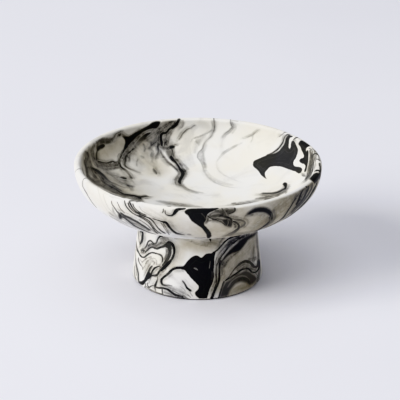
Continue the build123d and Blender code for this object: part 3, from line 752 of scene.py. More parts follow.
         (222.8, 262.5), (221, 266), (219.5, 265.5), (220.8, 261), (223.5, 257), (226, 254), (228.5, 251),
         (231.5, 248), (234, 245.5), (237, 243)]),
    "stripe_c": (
        INK, (1.2, 1.1, 1.0, 1.0, 1.1, 1.3, 1.4, 1.5), 1.0,
        [(220.8, 261), (219.7, 265), (219.3, 270), (219.3, 275), (218.8, 280), (217.5, 284.5), (215.5, 288.5),
         (213.9, 292), (212.6, 295.5), (211.6, 299)]),
    "slant_soft": (SMOKE, (1.2, 2.6, 2.6), 0.45, [(239, 251.5), (233.5, 255.2), (228, 260), (224.5, 266)]),
    "left_of_wedge": (SMOKE, 2.5, 0.5, [(223, 264), (222.5, 269), (223, 274)]),
    # Marbling and painted shade along the foot's right edge, which is turned from the light.
    "edge_vein_and_shade": (
        SMOKE, (1.6, 2.2, 2.6, 2.6, 2.2), (0.5, 0.6, 0.66, 0.66, 0.5),
        [(256.4, 233), (257.2, 242), (258.2, 252), (259.1, 262), (259.6, 270)]),
    "edge_soft": (SMOKE, (2.4, 4.0, 3.0), 0.42, [(253.8, 249), (253.4, 254), (253.6, 259)]),
    "edge_grey": (SMOKE, (2.0, 3.0, 2.5), 0.5, [(249, 259), (253, 259.5), (256, 258)]),
    "arc_upper": (
        INK, (0.9, 1.2, 1.5, 1.6, 1.5, 1.4, 1.3), (0.7, 0.8, 0.82, 0.82, 0.8, 0.85),
        [(236, 267.5), (238.5, 265), (241.5, 262.8), (244.5, 261.7), (247.5, 261.5), (250, 262.4),
         (252, 264.3), (254, 266.6), (256, 267.2), (257.5, 265.3), (258.2, 262)]),
    "arc_grey": (SMOKE, (2.5, 4.6, 4.6, 3.0), 0.62, [(238, 269), (244, 265.5), (250, 266.5), (256, 268.5)]),
    "arc_light": (LIGHT, 0.5, 0.22, [(237.5, 269.5), (241, 267), (244, 265.7), (248, 265)]),
    "arc_strata": (
        INK, 0.7, 0.75,
        [(239, 264.8), (236, 267.5), (233.5, 270.5), (231.5, 273.5), (229.5, 276.5), (227.3, 278.7)]),
    "arc_tick": (INK, 0.5, 0.6, [(241, 268), (244, 268.2)]),
    "arc_lower": (
        INK, (0.7, 0.9, 1.0, 1.0, 1.0, 0.9, 0.9, 1.0, 1.0, 0.9), 0.97,
        [(225.5, 280.5), (229.5, 278), (233, 275.5), (237, 272.8), (241, 270), (244.5, 268.7), (248, 268.6),
         (250, 270), (251.8, 271.8), (254, 272.5), (256.5, 271.5), (258.3, 269), (259.4, 265.5),
         (259.6, 261)]),
    "under_arc": (
        MASS, 2.0, 0.76,
        [(225.5, 281.5), (229, 280), (234, 276.5), (240, 272.8), (246, 270.3), (249, 271), (252, 273.5),
         (255, 275), (256.5, 277), (256, 281), (253, 284), (249.5, 284.8), (246, 283), (242, 282),
         (238, 283), (234.5, 285.5), (231.5, 289), (229, 293), (227, 298), (219, 299), (220, 294),
         (222, 288)]),
    "under_swirl": (
        INK, (1.2, 1.7, 1.7, 1.3), 0.84,
        [(237.5, 281), (240.8, 278.8), (244.5, 278.3), (247.8, 280.2), (250.3, 283.5)]),
    "under_dark": (INK, 0.9, 0.85, [(224, 281.5), (222.3, 286), (220.8, 291), (219.3, 296)]),
    "under_hair": (INK, 0.7, 0.8, [(227, 289), (227, 292.5), (226.6, 295)]),
    "wedge_light": (
        LIGHT, (0.6, 0.9, 1.0, 0.9), 0.42,
        [(224, 272), (222.3, 277), (221, 281), (219.8, 285), (218.3, 289), (217, 293), (215.8, 297.5)]),
    "stripe_light_b": (
        LIGHT, 0.5, 0.4,
        [(215.3, 283), (213.5, 287), (212, 290.5), (210.3, 294.5), (209, 299)]),
    # Painted warm shade, under the bowl and on the foot's right side turned from the light.
    "crown_tan_shade": (TAN_AND_SHADE, 9, 0.8, [(188, 244), (206, 246), (222, 240)]),
    "wedge_tan_shade": (TAN_AND_SHADE, 16, 0.72, [(220, 282), (230, 266), (244, 252), (256, 240)]),
    "lower_tan_shade": (TAN_AND_SHADE, 9, 1.0, [(228, 293), (239, 289), (252, 283)]),
    "top_grey_b": (SMOKE, 2.2, 0.4, [(159, 243.5), (162.5, 242.5), (165, 243)]),
    "knot_swirl_a": (INK, 0.5, 0.6, [(140.3, 250.5), (142, 248.6), (145, 248.8), (147, 250)]),
    "knot_swirl_b": (INK, 0.5, 0.6, [(140.5, 252), (142.3, 253.5), (145, 253), (146.5, 251.5)]),
    "fold_head": (
        MASS, 0.5, 0.86,
        [(163.5, 245), (166, 242.8), (168.5, 241.8), (171, 243), (172.3, 246), (172.3, 249.5), (170.5, 250.5),
         (168.5, 248.5), (166, 247.5)]),
    "tail_hair_b": (INK, 0.6, 0.45, [(150.5, 264.5), (148.3, 267.5), (147, 270.5)]),
    "tail_right": (SMOKE, (2.0, 2.0, 1.5), 0.35, [(166, 268), (162.5, 271.5), (159.5, 276)]),
    "corner_tick": (INK, 0.7, 0.6, [(145.6, 283.5), (145.2, 285.5), (145, 287.3)]),
    "corner_strip": (INK, 0.6, 0.5, [(147.5, 280.5), (149.5, 281.5), (148.3, 283.5)]),
    "base_speck_a": (INK, 0.5, 0.35, [(176, 288), (179, 289.3), (182, 289)]),
    "base_speck_b": (INK, 0.5, 0.35, [(180, 286.5), (183, 288.3), (185.5, 291.5)]),
    "inner_w": (INK, 0.45, 0.35, [(140.3, 259.5), (142.3, 262.5), (144.3, 261.3), (146.5, 259.3)]),
    "stripe_thin": (INK, 0.4, 0.8, [(217, 257.5), (215.8, 261), (215.5, 265)]),
    # Painted shade under the bowl's overhang, on the foot's shaded right.
    "crown_dark_shade_b": (SMOKE, 2.6, 0.85, [(237, 238.5), (243, 236.7), (249, 235)]),
    "under_side": (SMOKE, 2.5, 0.55, [(260, 270), (258.5, 277), (254.5, 284)]),
    "under_lift": (
        LIGHT, 0.7, 0.25,
        [(228, 287), (232, 281.3), (237, 277.3), (241.5, 275.8), (246, 276.5), (249.5, 280)]),
    "stripe_shade": (
        SMOKE, (5, 8, 8, 7, 6), (0.62, 0.66, 0.6, 0.5, 0.42),
        [(246, 237), (233, 244), (224, 254), (218, 267), (217, 280), (213, 293)]),
    "wedge_shade": (SMOKE, (8, 12, 12, 8), 0.22, [(256, 240), (246, 250), (234, 262), (225, 276)]),
    "under_shade": (
        SMOKE, (4, 6, 6, 6, 5), 0.46,
        [(223, 293), (229, 283), (237, 276.5), (246, 272.5), (254, 274), (259, 279)]),
    # Painted warm shade low on the foot's right side, turned from the light.
    "under_brown_shade": (SMOKE, (4, 5, 4), 0.2, [(232, 292), (241, 288), (250, 285)]),
    "crown_side_shade": (SMOKE, (5, 7, 6), 0.3, [(204, 242), (213, 243), (220, 245)]),
    "fold_tan": (TAN_AND_SHADE, (7, 9, 9, 7), 0.45, [(181, 240), (180, 250), (178, 260), (172, 266)]),
    "left_shade": (SMOKE, (6, 9, 9, 7), 0.12, [(143, 236), (146, 250), (148, 265), (152, 282)]),
    "white_shade": (SMOKE, (5, 7, 5), 0.1, [(171, 276), (181, 284), (188, 292)]),
}


# Small helpers on numbers

def srgb(red, green, blue):
    """A display colour from 0 to 255 as linear light."""
    def linear(value):
        share = value / 255
        return share / 12.92 if share <= 0.04045 else ((share + 0.055) / 1.055) ** 2.4
    return (linear(red), linear(green), linear(blue), 1.0)


def smoothstep(low, high, value):
    """0 at the low end, 1 at the high end, and a soft rise between them."""
    share = np.clip((value - low) / (high - low), 0.0, 1.0)
    return share * share * (3 - 2 * share)


def run_lengths(points):
    """Distance along a line of points, from its start to each point."""
    steps = np.linalg.norm(np.diff(points, axis=0), axis=1)
    return np.concatenate([[0.0], np.cumsum(steps)])


def evenly(points, spacing):
    """The same line with its points about one spacing apart, ends kept."""
    along = run_lengths(points)
    count = max(1, int(math.ceil(along[-1] / spacing)))
    places = np.linspace(0, along[-1], count + 1)
    return np.stack([np.interp(places, along, column) for column in points.T], axis=1)


def bezier(start, near_start, near_end, end, spacing):
    """A cubic curve from start to end, drawn towards the two points between."""
    t = np.linspace(0, 1, bezier_points)[:, None]
    start, near_start, near_end, end = (np.array(p) for p in (start, near_start, near_end, end))
    curve = (1 - t) ** 3 * start + 3 * (1 - t) ** 2 * t * near_start
    curve = curve + 3 * (1 - t) * t ** 2 * near_end + t ** 3 * end
    return evenly(curve, spacing)


def quarter(centre, radius, from_angle, spacing):
    """A quarter circle, turning left from an angle in degrees."""
    angles = np.radians(np.linspace(from_angle, from_angle + 90, quarter_points))
    curve = np.stack([centre[0] + radius * np.cos(angles), centre[1] + radius * np.sin(angles)], axis=1)
    return evenly(curve, spacing)


def smooth_line(points, step):
    """A curve through the points (a centripetal spline), as points about one step apart."""
    points = np.asarray(points, float)
    if len(points) == 2:
        return evenly(points, step)
    ends = (2 * points[0] - points[1], 2 * points[-1] - points[-2])
    held = np.vstack([ends[0], points, ends[1]])
    pieces = []
    for a, b, c, d in zip(held[:-3], held[1:-2], held[2:-1], held[3:]):
        t1 = math.sqrt(np.linalg.norm(b - a))
        t2 = t1 + math.sqrt(np.linalg.norm(c - b))
        t3 = t2 + math.sqrt(np.linalg.norm(d - c))
        t = np.linspace(t1, t2, spline_points, endpoint=False)[:, None]
        ab = (t1 - t) / t1 * a + t / t1 * b
        bc = (t2 - t) / (t2 - t1) * b + (t - t1) / (t2 - t1) * c
        cd = (t3 - t) / (t3 - t2) * c + (t - t2) / (t3 - t2) * d
        abc = (t2 - t) / t2 * ab + t / t2 * bc
        bcd = (t3 - t) / (t3 - t1) * bc + (t - t1) / (t3 - t1) * cd
        pieces.append((t2 - t) / (t2 - t1) * abc + (t - t1) / (t2 - t1) * bcd)
    return evenly(np.vstack(pieces + [points[-1:]]), step)


def spread_values(values, count):
    """One value, or a few spaced evenly along a line, as one value for each of its points."""
    values = np.atleast_1d(np.asarray(values, float))
    return np.interp(np.linspace(0, 1, count), np.linspace(0, 1, len(values)), values)


# The turned pieces

class Turned:
    """A closed half section turned about the Z axis: its mesh, and where its surface is."""

    def __init__(self, name, sections, turn_segments):
        self.name = name
        self.build_rings(sections)
        self.build_mesh(turn_segments)

    def build_rings(self, sections):
        """Joins the sections of the outline, and marks the rings where they meet at a corner."""
        rings = sections[0]
        self.corners = []
        for section in sections[1:]:
            before, after = rings[-1] - rings[-2], section[1] - section[0]
            turn = np.dot(before, after) / (np.linalg.norm(before) * np.linalg.norm(after))
            if turn < corner_cosine:
                self.corners.append(len(rings) - 1)
            rings = np.vstack([rings, section[1:]])
        self.rings = rings
        self.along = run_lengths(rings)
        tangent = np.gradient(rings, self.along, axis=0)
        tangent /= np.linalg.norm(tangent, axis=1)[:, None]
        self.ring_normals = np.stack([tangent[:, 1], -tangent[:, 0]], axis=1)

    def count_at(self, radius, turn_segments):
        if radius < axis_radius:
            return 1
        count = turn_segments
        for share in halving_radius_shares:
            if radius < share * self.rings[:, 0].max():
                count //= 2
        return count

    def build_mesh(self, turn_segments):
        counts = [self.count_at(radius, turn_segments) for radius in self.rings[:, 0]]
        starts = np.concatenate([[0], np.cumsum(counts)])
        self.angle = np.concatenate([np.arange(n) * (2 * math.pi / n) for n in counts])
        self.place = np.repeat(self.along, counts)
        self.points = self.at(self.angle, self.place)
        self.normals = self.normal_at(self.angle, self.place)
        self.faces = []
        self.sharp_edges = set()
        for i in range(len(counts) - 1):
            self.faces += self.band(starts[i], counts[i], starts[i + 1], counts[i + 1])
        for i in self.corners:
            for k in range(counts[i]):
                pair = (starts[i] + k, starts[i] + (k + 1) % counts[i])
                self.sharp_edges.add((min(pair), max(pair)))

    @staticmethod
    def band(low, low_count, high, high_count):
        """Faces between two rings, where one may have half the points of the other or just one."""
        if low_count == high_count:
            for k in range(low_count):
                n = (k + 1) % low_count
                yield (low + k, low + n, high + n, high + k)
        elif low_count == 1:
            for k in range(high_count):
                yield (low, high + (k + 1) % high_count, high + k)
        elif high_count == 1:
            for k in range(low_count):
                yield (low + k, low + (k + 1) % low_count, high)
        elif low_count < high_count:
            for k in range(low_count):
                n = (k + 1) % low_count
                first, middle, last = high + 2 * k, high + 2 * k + 1, high + (2 * k + 2) % high_count
                yield (low + k, middle, first)
                yield (low + k, low + n, middle)
                yield (low + n, last, middle)
        else:
            for k in range(high_count):
                n = (k + 1) % high_count
                first, middle, last = low + 2 * k, low + 2 * k + 1, low + (2 * k + 2) % low_count
                yield (first, middle, high + k)
                yield (middle, high + n, high + k)
                yield (middle, last, high + n)

    def radius_at(self, place):
        return np.interp(place, self.along, self.rings[:, 0])

    def at(self, angle, place):
        """The point of the surface at an angle and a distance along the outline."""
        radius = self.radius_at(place)
        height = np.interp(place, self.along, self.rings[:, 1])
        return np.stack([radius * np.cos(angle), radius * np.sin(angle), height], axis=-1)

    def normal_at(self, angle, place):
        out = np.interp(place, self.along, self.ring_normals[:, 0])
        up = np.interp(place, self.along, self.ring_normals[:, 1])
        normal = np.stack([out * np.cos(angle), out * np.sin(angle), up], axis=-1)
        return normal / np.linalg.norm(normal, axis=-1, keepdims=True)

    def place_of(self, point):
        """The angle and the distance along the outline of a point close to the surface."""
        radius = math.hypot(point.x, point.y)
        target = np.array([radius, point.z])
        start, end = self.rings[:-1], self.rings[1:]
        run = end - start
        share = np.clip(((target - start) * run).sum(1) / (run * run).sum(1), 0, 1)
        gap = np.linalg.norm(start + share[:, None] * run - target, axis=1)
        best = int(np.argmin(gap))
        return math.atan2(point.y, point.x), self.along[best] + share[best] * np.linalg.norm(run[best])


def straight(points, spacing):
    """Sections of an outline through the points, cut at each corner."""
    points = [np.array(p) for p in points]
    return [evenly(np.stack([a, b]), spacing) for a, b in zip(points[:-1], points[1:])]


def make_bowl():
    """The bowl, from the middle of its spigot round the lip to the middle of its floor."""
    outer_lip_height = lip_height - lip_round
    inner_radius = rim_radius - rim_wall
    floor_height = seat_height + floor_thickness
    outer_run, outer_rise = rim_radius - foot_top_radius, outer_lip_height - seat_height
    inner_rise = outer_lip_height - floor_height
    sections = straight([
        (0, spigot_end_height),
        (spigot_radius - spigot_chamfer, spigot_end_height),
        (spigot_radius, spigot_end_height + spigot_chamfer),
        (spigot_radius, seat_height),
        (foot_top_radius, seat_height),
    ], hidden_ring_spacing)
    sections.append(bezier(
        (foot_top_radius, seat_height),
        (foot_top_radius + outer_under_run_share * outer_run,
         seat_height + outer_under_rise_share * outer_rise),
        (rim_radius, outer_lip_height - outer_side_share * outer_rise),
        (rim_radius, outer_lip_height), ring_spacing))
    sections.append(quarter((rim_radius - lip_round, outer_lip_height), lip_round, 0, lip_ring_spacing))
    sections += straight([
        (rim_radius - lip_round, lip_height), (inner_radius + lip_round, lip_height)], lip_ring_spacing)
    sections.append(quarter((inner_radius + lip_round, outer_lip_height), lip_round, 90, lip_ring_spacing))
    sections.append(bezier(
        (inner_radius, outer_lip_height),
        (inner_radius, outer_lip_height - inner_side_share * inner_rise),
        (inner_floor_share * inner_radius, floor_height),
        (0, floor_height), ring_spacing))
    return Turned("marbled_bowl", sections, bowl_turn_segments)


def make_foot():
    """The foot, from the middle of its base up the side to the middle of its socket."""
    socket_radius = spigot_radius + spigot_play
    slope = math.atan2(foot_top_height - foot_base_height, foot_top_radius - foot_base_radius)
    base_edge = np.array((foot_base_radius, foot_base_height))
    top_edge = np.array((foot_top_radius, foot_top_height))
    side = np.array((math.cos(slope), math.sin(slope)))
    base_cut = foot_base_round * math.tan(slope / 2)
    top_cut = foot_top_round / math.tan(slope / 2)
    base_side = base_edge + side * foot_base_round / math.tan((math.pi - slope) / 2)
    top_side = top_edge - side * top_cut
    sections = straight([(0, foot_base_height), (foot_base_radius - base_cut, foot_base_height)],
                        hidden_ring_spacing)
    sections.append(rounded(sections[-1][-1], base_edge, base_side))
    sections += straight([base_side, top_side], ring_spacing)
    top_inner = (foot_top_radius - top_cut, foot_top_height)
    sections.append(rounded(top_side, top_edge, np.array(top_inner)))
    sections += straight([
        top_inner,
        (socket_radius, foot_top_height),
        (socket_radius, foot_top_height - socket_depth),
        (0, foot_top_height - socket_depth),
    ], hidden_ring_spacing)
    return Turned("marbled_foot", sections, foot_turn_segments)


def rounded(start, corner, end):
    """A small rounded edge from start to end, drawn in towards the corner."""
    t = np.linspace(0, 1, rounded_points)[:, None]
    return (1 - t) ** 2 * start + 2 * (1 - t) * t * corner + t ** 2 * end


# The photograph's view

def view_axes():
    """Right, up and forward of the camera, along the axes of the part."""
    forward = np.array([0, math.cos(view_elevation), -math.sin(view_elevation)])
    level_right = np.array([1.0, 0, 0])
    level_up = np.array([0, math.sin(view_elevation), math.cos(view_elevation)])
    right = math.cos(view_roll) * level_right + math.sin(view_roll) * level_up
    up = -math.sin(view_roll) * level_right + math.cos(view_roll) * level_up
    return right, up, forward


view_right, view_up, view_forward = view_axes()
view_place = np.array(view_target) - view_distance * view_forward


def ray_of(pixel):
    """The direction from the camera through a pixel of the photograph."""
    across, down = (pixel[0] - image_px / 2) / focal_px, (pixel[1] - image_px / 2) / focal_px
    return Vector(view_forward + across * view_right - down * view_up).normalized()


# Laying the marbling on a surface

# Steps of a line as it is drawn, and of one too short for three such steps
drawing_step_px = 0.8
short_step_px = 0.3

# How far a line's values reach past its edge, how far apart lines of one
# layer stay, how far smoke may spread from a line, and what a vertex holds
# where a layer has nothing
reach_mm = 1.2
clear_mm = 2.3
spread_mm = 6.0
nothing_mm = -4.0

# How alike a vertex and a line must face for the line to reach it, how many
# vertices are measured at once, and the least values that are divided by
least_facing = 0.2
measured_at_once = 2000
least_length = 1e-12
least_squared_length = 1e-18
least_half_mm = 1e-6

# Streaks in smoke follow its lines: how far apart the lines start in their
# noise, and how strongly they show in drawn smoke and in haze
streak_start_mm = 40.0
smoke_streak = 0.4
haze_streak = 0.6

# How steeply smoke falls off towards its half width
smoke_falloff = 1.5

# Haze, the smoke beside a vein: its least width, its growth with the vein's
# half width, how fast it thins out, how far it swells from side to side and in
# what waves, the half widths of vein from which it grows and is full, and its
# strength beside hairlines and beside broad veins
haze_least_mm = 0.45
haze_growth = 1.4
haze_falloff = 1.2
haze_swell = 0.75
haze_wave_mm = 9.0
haze_from_mm = 0.3
haze_full_mm = 0.9
inside_haze = (0.5, 0.6)
outside_haze = (0.1, 0.36)

# The least softness of a mass's edge
least_softness_mm = 0.22

# The least share of its width that a line may seem to have when it is seen at a
# slant, and the longest step along a line before it counts as a jump
steepest_share = 0.35
longest_jump_mm = 3.5

# A line that leaves the photograph's view runs on and fades: from how many
# points, at least how far apart, its course is read, how far ahead its end is
# looked at, how far a point that is seen may lie from it, how far the line
# runs on, in how many steps, and how much thinner it gets
course_points = 6
least_course_mm = 0.1
look_ahead_mm = 2.0
hidden_gap_mm = 0.8
run_on_mm = 14.0
run_on_steps = 24
run_on_taper = 0.6


class Line:
    """One line of marbling on a surface: its points, half widths and darkness."""

    def __init__(self, kind, angle, place, half_mm, tone, haze):
        self.kind = kind
        self.angle = angle
        self.place = place
        self.half_mm = half_mm
        self.tone = tone
        self.haze = haze


def traced(surface, tree, allowed, entry, haze_strengths):
    """A line drawn on the photograph, carried onto the surface by the camera. The haze beside
    a vein has one strength for hairlines and one for broad veins."""
    kind, half_px, tone, pixels = entry
    closed = kind == MASS
    drawn = smooth_line(pixels + pixels[:1] if closed else pixels, drawing_step_px)
    if len(drawn) < 3:
        drawn = evenly(drawn, short_step_px)
    halves, tones = spread_values(half_px, len(drawn)), spread_values(tone, len(drawn))
    found = []
    for pixel, half, dark in zip(drawn, halves, tones):
        hit = tree.ray_cast(Vector(view_place), ray_of(pixel))[0]
        if hit is None:
            continue
        angle, place = surface.place_of(hit)
        if allowed[0] <= place <= allowed[1]:
            found.append((angle, place, half, dark))
    if len(found) < 2:
        return None
    found = np.array(found)
    found[:, 0] = np.unwrap(found[:, 0])
    if not closed:
        found = found[longest_run(surface.at(found[:, 0], found[:, 1]))]
    found[:, 2] = widths_on_surface(surface, found[:, 0], found[:, 1], found[:, 2])
    if not closed:
        found = run_on(surface, tree, found)
    haze = haze_beside(found[:, 2], haze_strengths) if kind == INK else 0.0
    return Line(kind, found[:, 0], found[:, 1], found[:, 2], found[:, 3], haze)


def haze_beside(half_mm, haze_strengths):
    """The strength of the haze beside a vein, from those for hairlines and for broad veins."""
    thin_haze, broad_haze = haze_strengths
    breadth = smoothstep(haze_from_mm, haze_full_mm, np.median(half_mm))
    return thin_haze + (broad_haze - thin_haze) * breadth


def longest_run(points):
    """Where the longest stretch of a line without a jump in it starts and ends."""
    jumps = np.linalg.norm(np.diff(points, axis=0), axis=1) > longest_jump_mm * MM
    ends = np.concatenate([[0], np.flatnonzero(jumps) + 1, [len(points)]])
    best = int(np.argmax(np.diff(ends)))
    return slice(ends[best], ends[best + 1])


def run_on(surface, tree, found):
    """Carries a line on round the piece at each end that leaves the view, fading it out. The
    line is turned round twice, so that each end is the last one once."""
    for turn in range(2):
        found = with_end_run_on(surface, tree, found)[::-1]
    return found


def with_end_run_on(surface, tree, found):
    """The line with its last end carried on, if that end leaves the view."""
    last, back = found[-1], found[-min(len(found), course_points)]
    length_mm = np.linalg.norm(surface.at(*last[:2]) - surface.at(*back[:2])) / MM
    if length_mm <= least_course_mm:
        return found
    course = (last[:2] - back[:2]) / length_mm
    if is_seen(tree, Vector(surface.at(*(last[:2] + course * look_ahead_mm)))):
        return found
    share = np.linspace(0, 1, run_on_steps + 1)[1:, None]
    added = np.tile(last, (run_on_steps, 1))
    added[:, :2] += share * course * run_on_mm
    added[:, 2:3] = min(last[2], np.median(found[:, 2])) * (1 - run_on_taper * share)
    added[:, 3:] *= 1 - share
    return np.vstack([found, added])


def is_seen(tree, point):
    """Whether the camera sees the piece at a point close to its surface."""
    camera = Vector(view_place)
    hit = tree.ray_cast(camera, (point - camera).normalized())[0]
    return hit is not None and (hit - point).length <= hidden_gap_mm * MM


def widths_on_surface(surface, angle, place, half_px):
    """Half widths in pixels as half widths in millimetres across the line on the surface."""
    points, normals = surface.at(angle, place), surface.normal_at(angle, place)
    tangent = np.gradient(points, axis=0)
    tangent /= np.linalg.norm(tangent, axis=1)[:, None] + least_length
    across = np.cross(normals, tangent)
    seen_along = np.stack([tangent @ view_right, tangent @ view_up], axis=1)
    seen_across = np.stack([across @ view_right, across @ view_up], axis=1)
    square = np.stack([-seen_along[:, 1], seen_along[:, 0]], axis=1)
    square /= np.linalg.norm(square, axis=1)[:, None] + least_length
    shown = np.abs((seen_across * square).sum(1)).clip(steepest_share, 1)
    depth = (points - view_place) @ view_forward
    return half_px * depth / focal_px / MM / shown


# Veins on the sides that the photograph doesn't show. Each row of swings is a
# wave of the field's direction: its strength, its turns round the piece and
# its growth over the height. The other pairs are the least and the most.
flow_swings = ((0.8, 2, 2.8), (0.6, -3, 4.6), (0.4, 5, 7.5))
flow_step_mm = 0.8
flow_steps = (16, 48)
flow_least_steps = 9
flow_levels = (0.05, 0.95)
strand_counts = (1, 5)
strand_gaps_mm = (0.9, 2.0)
vein_halves_mm = (0.3, 1.2)
vein_tones = (0.85, 1)
strand_halves_mm = (0.15, 0.4)
strand_tones = (0.4, 0.95)
pool_halves_mm = (2.0, 3.4)
bundles_per_pool = 7
flow_smoke_mm = (2.5, 6.0)
flow_smoke_tones = (0.2, 0.5)
bundles_per_tan = 3
flow_tan_mm = (7.0, 13.0)
flow_tan_tones = (0.35, 0.75)

# How such a vein's width runs: its most per length, how far and how often it
# swells, and how blunt its two points are. A line is kept where more than the
# least share of it is hidden.
most_half_per_length = 0.055
uneven_share = 0.4
uneven_waves = 9
point_power = 0.7
least_hidden = 0.1


class Flow:
    """Bundles of veins on a stretch of a surface. All follow one smooth field of directions,
    so that neighbours run side by side."""

    def __init__(self, surface, places, hidden, lean, haze_strengths, seed):
        self.surface = surface
        self.places = places
        self.hidden = hidden
        self.lean = lean
        self.haze_strengths = haze_strengths
        self.random = np.random.default_rng(seed)
        self.phases = self.random.uniform(0, 2 * math.pi, len(flow_swings))

    def course(self, angle, place):
        """The field's direction: 0 runs level round the piece, and a quarter turn runs up it."""
        low, high = self.places
        level = (place - low) / (high - low)
        waves = [
            swing * math.sin(turns * angle + growth * level + phase)
            for (swing, turns, growth), phase in zip(flow_swings, self.phases)]
        return self.lean + sum(waves)

    def follow(self, angle, place, steps, stride_mm):
        """The way from a start along the field, while it stays on the stretch. A stride below
        zero goes backwards."""
        low, high = self.places
        way = []
        while low <= place <= high and len(way) < steps:
            way.append((angle, place))
            course = self.course(angle, place)
            angle += stride_mm * MM * math.cos(course) / self.surface.radius_at(place)
            place += stride_mm * MM * math.sin(course)
        return way

    def way_through(self, angle, place):
        """A way that passes through a point, of a length drawn for each of its two halves."""
        ahead, behind = self.random.integers(*flow_steps, 2)
        first = self.follow(angle, place, behind, -flow_step_mm)
        return np.array(first[:0:-1] + self.follow(angle, place, ahead, flow_step_mm))

    def line(self, kind, way, half_mm, tone):
        """A line along a way, pointed at both ends and uneven between them."""
        share = np.linspace(0, 1, len(way))
        if kind == INK:
            half_mm = min(half_mm, most_half_per_length * flow_step_mm * len(way))
        swelling = np.sin(share * uneven_waves + self.random.uniform(0, 2 * math.pi))
        halves = half_mm * np.sin(math.pi * share) ** point_power * (1 + uneven_share * swelling)
        haze = haze_beside(halves, self.haze_strengths) if kind == INK else 0.0
        return Line(kind, way[:, 0], way[:, 1], halves, np.full(len(way), tone), haze)

    def bundle(self, angle, place, leading_halves_mm):
        """A leading vein in smoke, with thinner strands beside it."""
        uniform = self.random.uniform
        gap = uniform(*strand_gaps_mm) * MM
        course = self.course(angle, place)
        radius = self.surface.radius_at(place)
        found = []
        for strand in range(self.random.integers(*strand_counts)):
            beside = angle - strand * gap * math.sin(course) / radius
            way = self.way_through(beside, place + strand * gap * math.cos(course))
            if len(way) < flow_least_steps:
                continue
            if strand == 0:
                found.append(self.line(INK, way, uniform(*leading_halves_mm), uniform(*vein_tones)))
                found.append(self.line(SMOKE, way, uniform(*flow_smoke_mm), uniform(*flow_smoke_tones)))
            else:
                found.append(self.line(INK, way, uniform(*strand_halves_mm), uniform(*strand_tones)))
        return found

    def lines(self, count):
        """So many bundles, spread evenly round the piece. Every few hold a broad dark pool."""
        uniform = self.random.uniform
        low, high = self.places
        found = []
        for number in range(count):
            angle = 2 * math.pi * (number + uniform(0, 1)) / count
            place = low + (high - low) * uniform(*flow_levels)
            pooled = number % bundles_per_pool == 0
            found += self.bundle(angle, place, pool_halves_mm if pooled else vein_halves_mm)
            way = self.way_through(angle, place)
            if number % bundles_per_tan == 0 and len(way) >= flow_least_steps:
                found.append(self.line(TAN_AND_SHADE, way, uniform(*flow_tan_mm), uniform(*flow_tan_tones)))
        return [line for line in found if self.is_hidden(line)]

    def is_hidden(self, line):
        return self.hidden(self.surface, line.angle, line.place).max() > least_hidden


def inside_outline(angle, place, outline_angle, outline_place):
    """Whether points lie inside a closed outline, both given as angle and place."""
    inside = np.zeros(len(angle), bool)
    for i in range(len(outline_angle)):
        a0, p0 = outline_angle[i - 1], outline_place[i - 1]
        a1, p1 = outline_angle[i], outline_place[i]
        crosses = (p0 > place) != (p1 > place)
        if p1 != p0:
            inside ^= crosses & (angle < a0 + (place - p0) * (a1 - a0) / (p1 - p0))
    return inside


def closest_on_line(points, start, run):
    """For each point, where a line of segments comes closest to it: the segment's number, the
    share along it, and the gap from there to the point."""
    squared_length = (run * run).sum(1) + least_squared_length
    rows = []
    for chunk in np.array_split(points, max(1, len(points) // measured_at_once)):
        offset = chunk[:, None, :] - start[None]
        share = np.clip((offset * run).sum(2) / squared_length, 0, 1)
        gap = offset - share[..., None] * run
        best = np.argmin((gap * gap).sum(2), axis=1)
        each = np.arange(len(chunk))
        rows.append((best, share[each, best], gap[each, best]))
    return tuple(np.concatenate(column) for column in zip(*rows))


def facing_alike(surface, near, line, best):
    """How alike vertices face to the places of a line that they lie closest to: 1 is the same."""
    numbers = np.arange(len(line.angle))
    angle, place = np.interp(best, numbers, line.angle), np.interp(best, numbers, line.place)
    return (surface.normals[near] * surface.normal_at(angle, place)).sum(1)


def inside_mass(surface, near, line):
    """Whether vertices lie inside a mass, by its outline round the piece and over its height."""
    centre = line.angle.mean()
    around = (surface.angle[near] - centre + math.pi) % (2 * math.pi) - math.pi + centre
    return inside_outline(around, surface.place[near], line.angle, line.place)


def measure(surface, line, weight):
    """For the vertices near a line: their index, offset from it, half width there, darkness,
    distance from it and place along it. For a mass, the half width is the depth inside it,
    and the offset is how soft its edge is."""
    points = surface.at(line.angle, line.place)
    if line.kind == MASS:
        points = np.vstack([points, points[:1]])
    halves = np.append(line.half_mm, line.half_mm[0])[:len(points)] * MM
    tones = np.append(line.tone, line.tone[0])[:len(points)]
    margin = halves.max() + spread_mm * MM
    low, high = points.min(0) - margin, points.max(0) + margin
    near = np.flatnonzero(((surface.points > low) & (surface.points < high)).all(1))
    run = np.diff(points, axis=0)
    best, share, gap = closest_on_line(surface.points[near], points[:-1], run)
    tangent = run / np.sqrt((run * run).sum(1) + least_squared_length)[:, None]
    side = (gap * np.cross(surface.normals[near], tangent[best])).sum(1) / MM
    distance = np.linalg.norm(gap, axis=1) / MM
    half = (halves[best] + share * (halves[best + 1] - halves[best])) / MM
    tone = tones[best] + share * (tones[best + 1] - tones[best])
    kept = facing_alike(surface, near, line, best) > least_facing
    if line.kind == MASS:
        within = inside_mass(surface, near, line)
        kept = kept | within
        half = np.where(within, distance, -distance)
        side = np.full(len(near), max(least_softness_mm, np.median(line.half_mm)))
    elif line.kind in (INK, LIGHT):
        past_end = np.abs((gap * tangent[best]).sum(1)) / MM
        half = half - past_end
    half = half - (1 - weight[near]) * (np.maximum(half, 0) + reach_mm)
    along = run_lengths(points)[best] / MM
    return near[kept], side[kept], half[kept], tone[kept], distance[kept], along[kept]


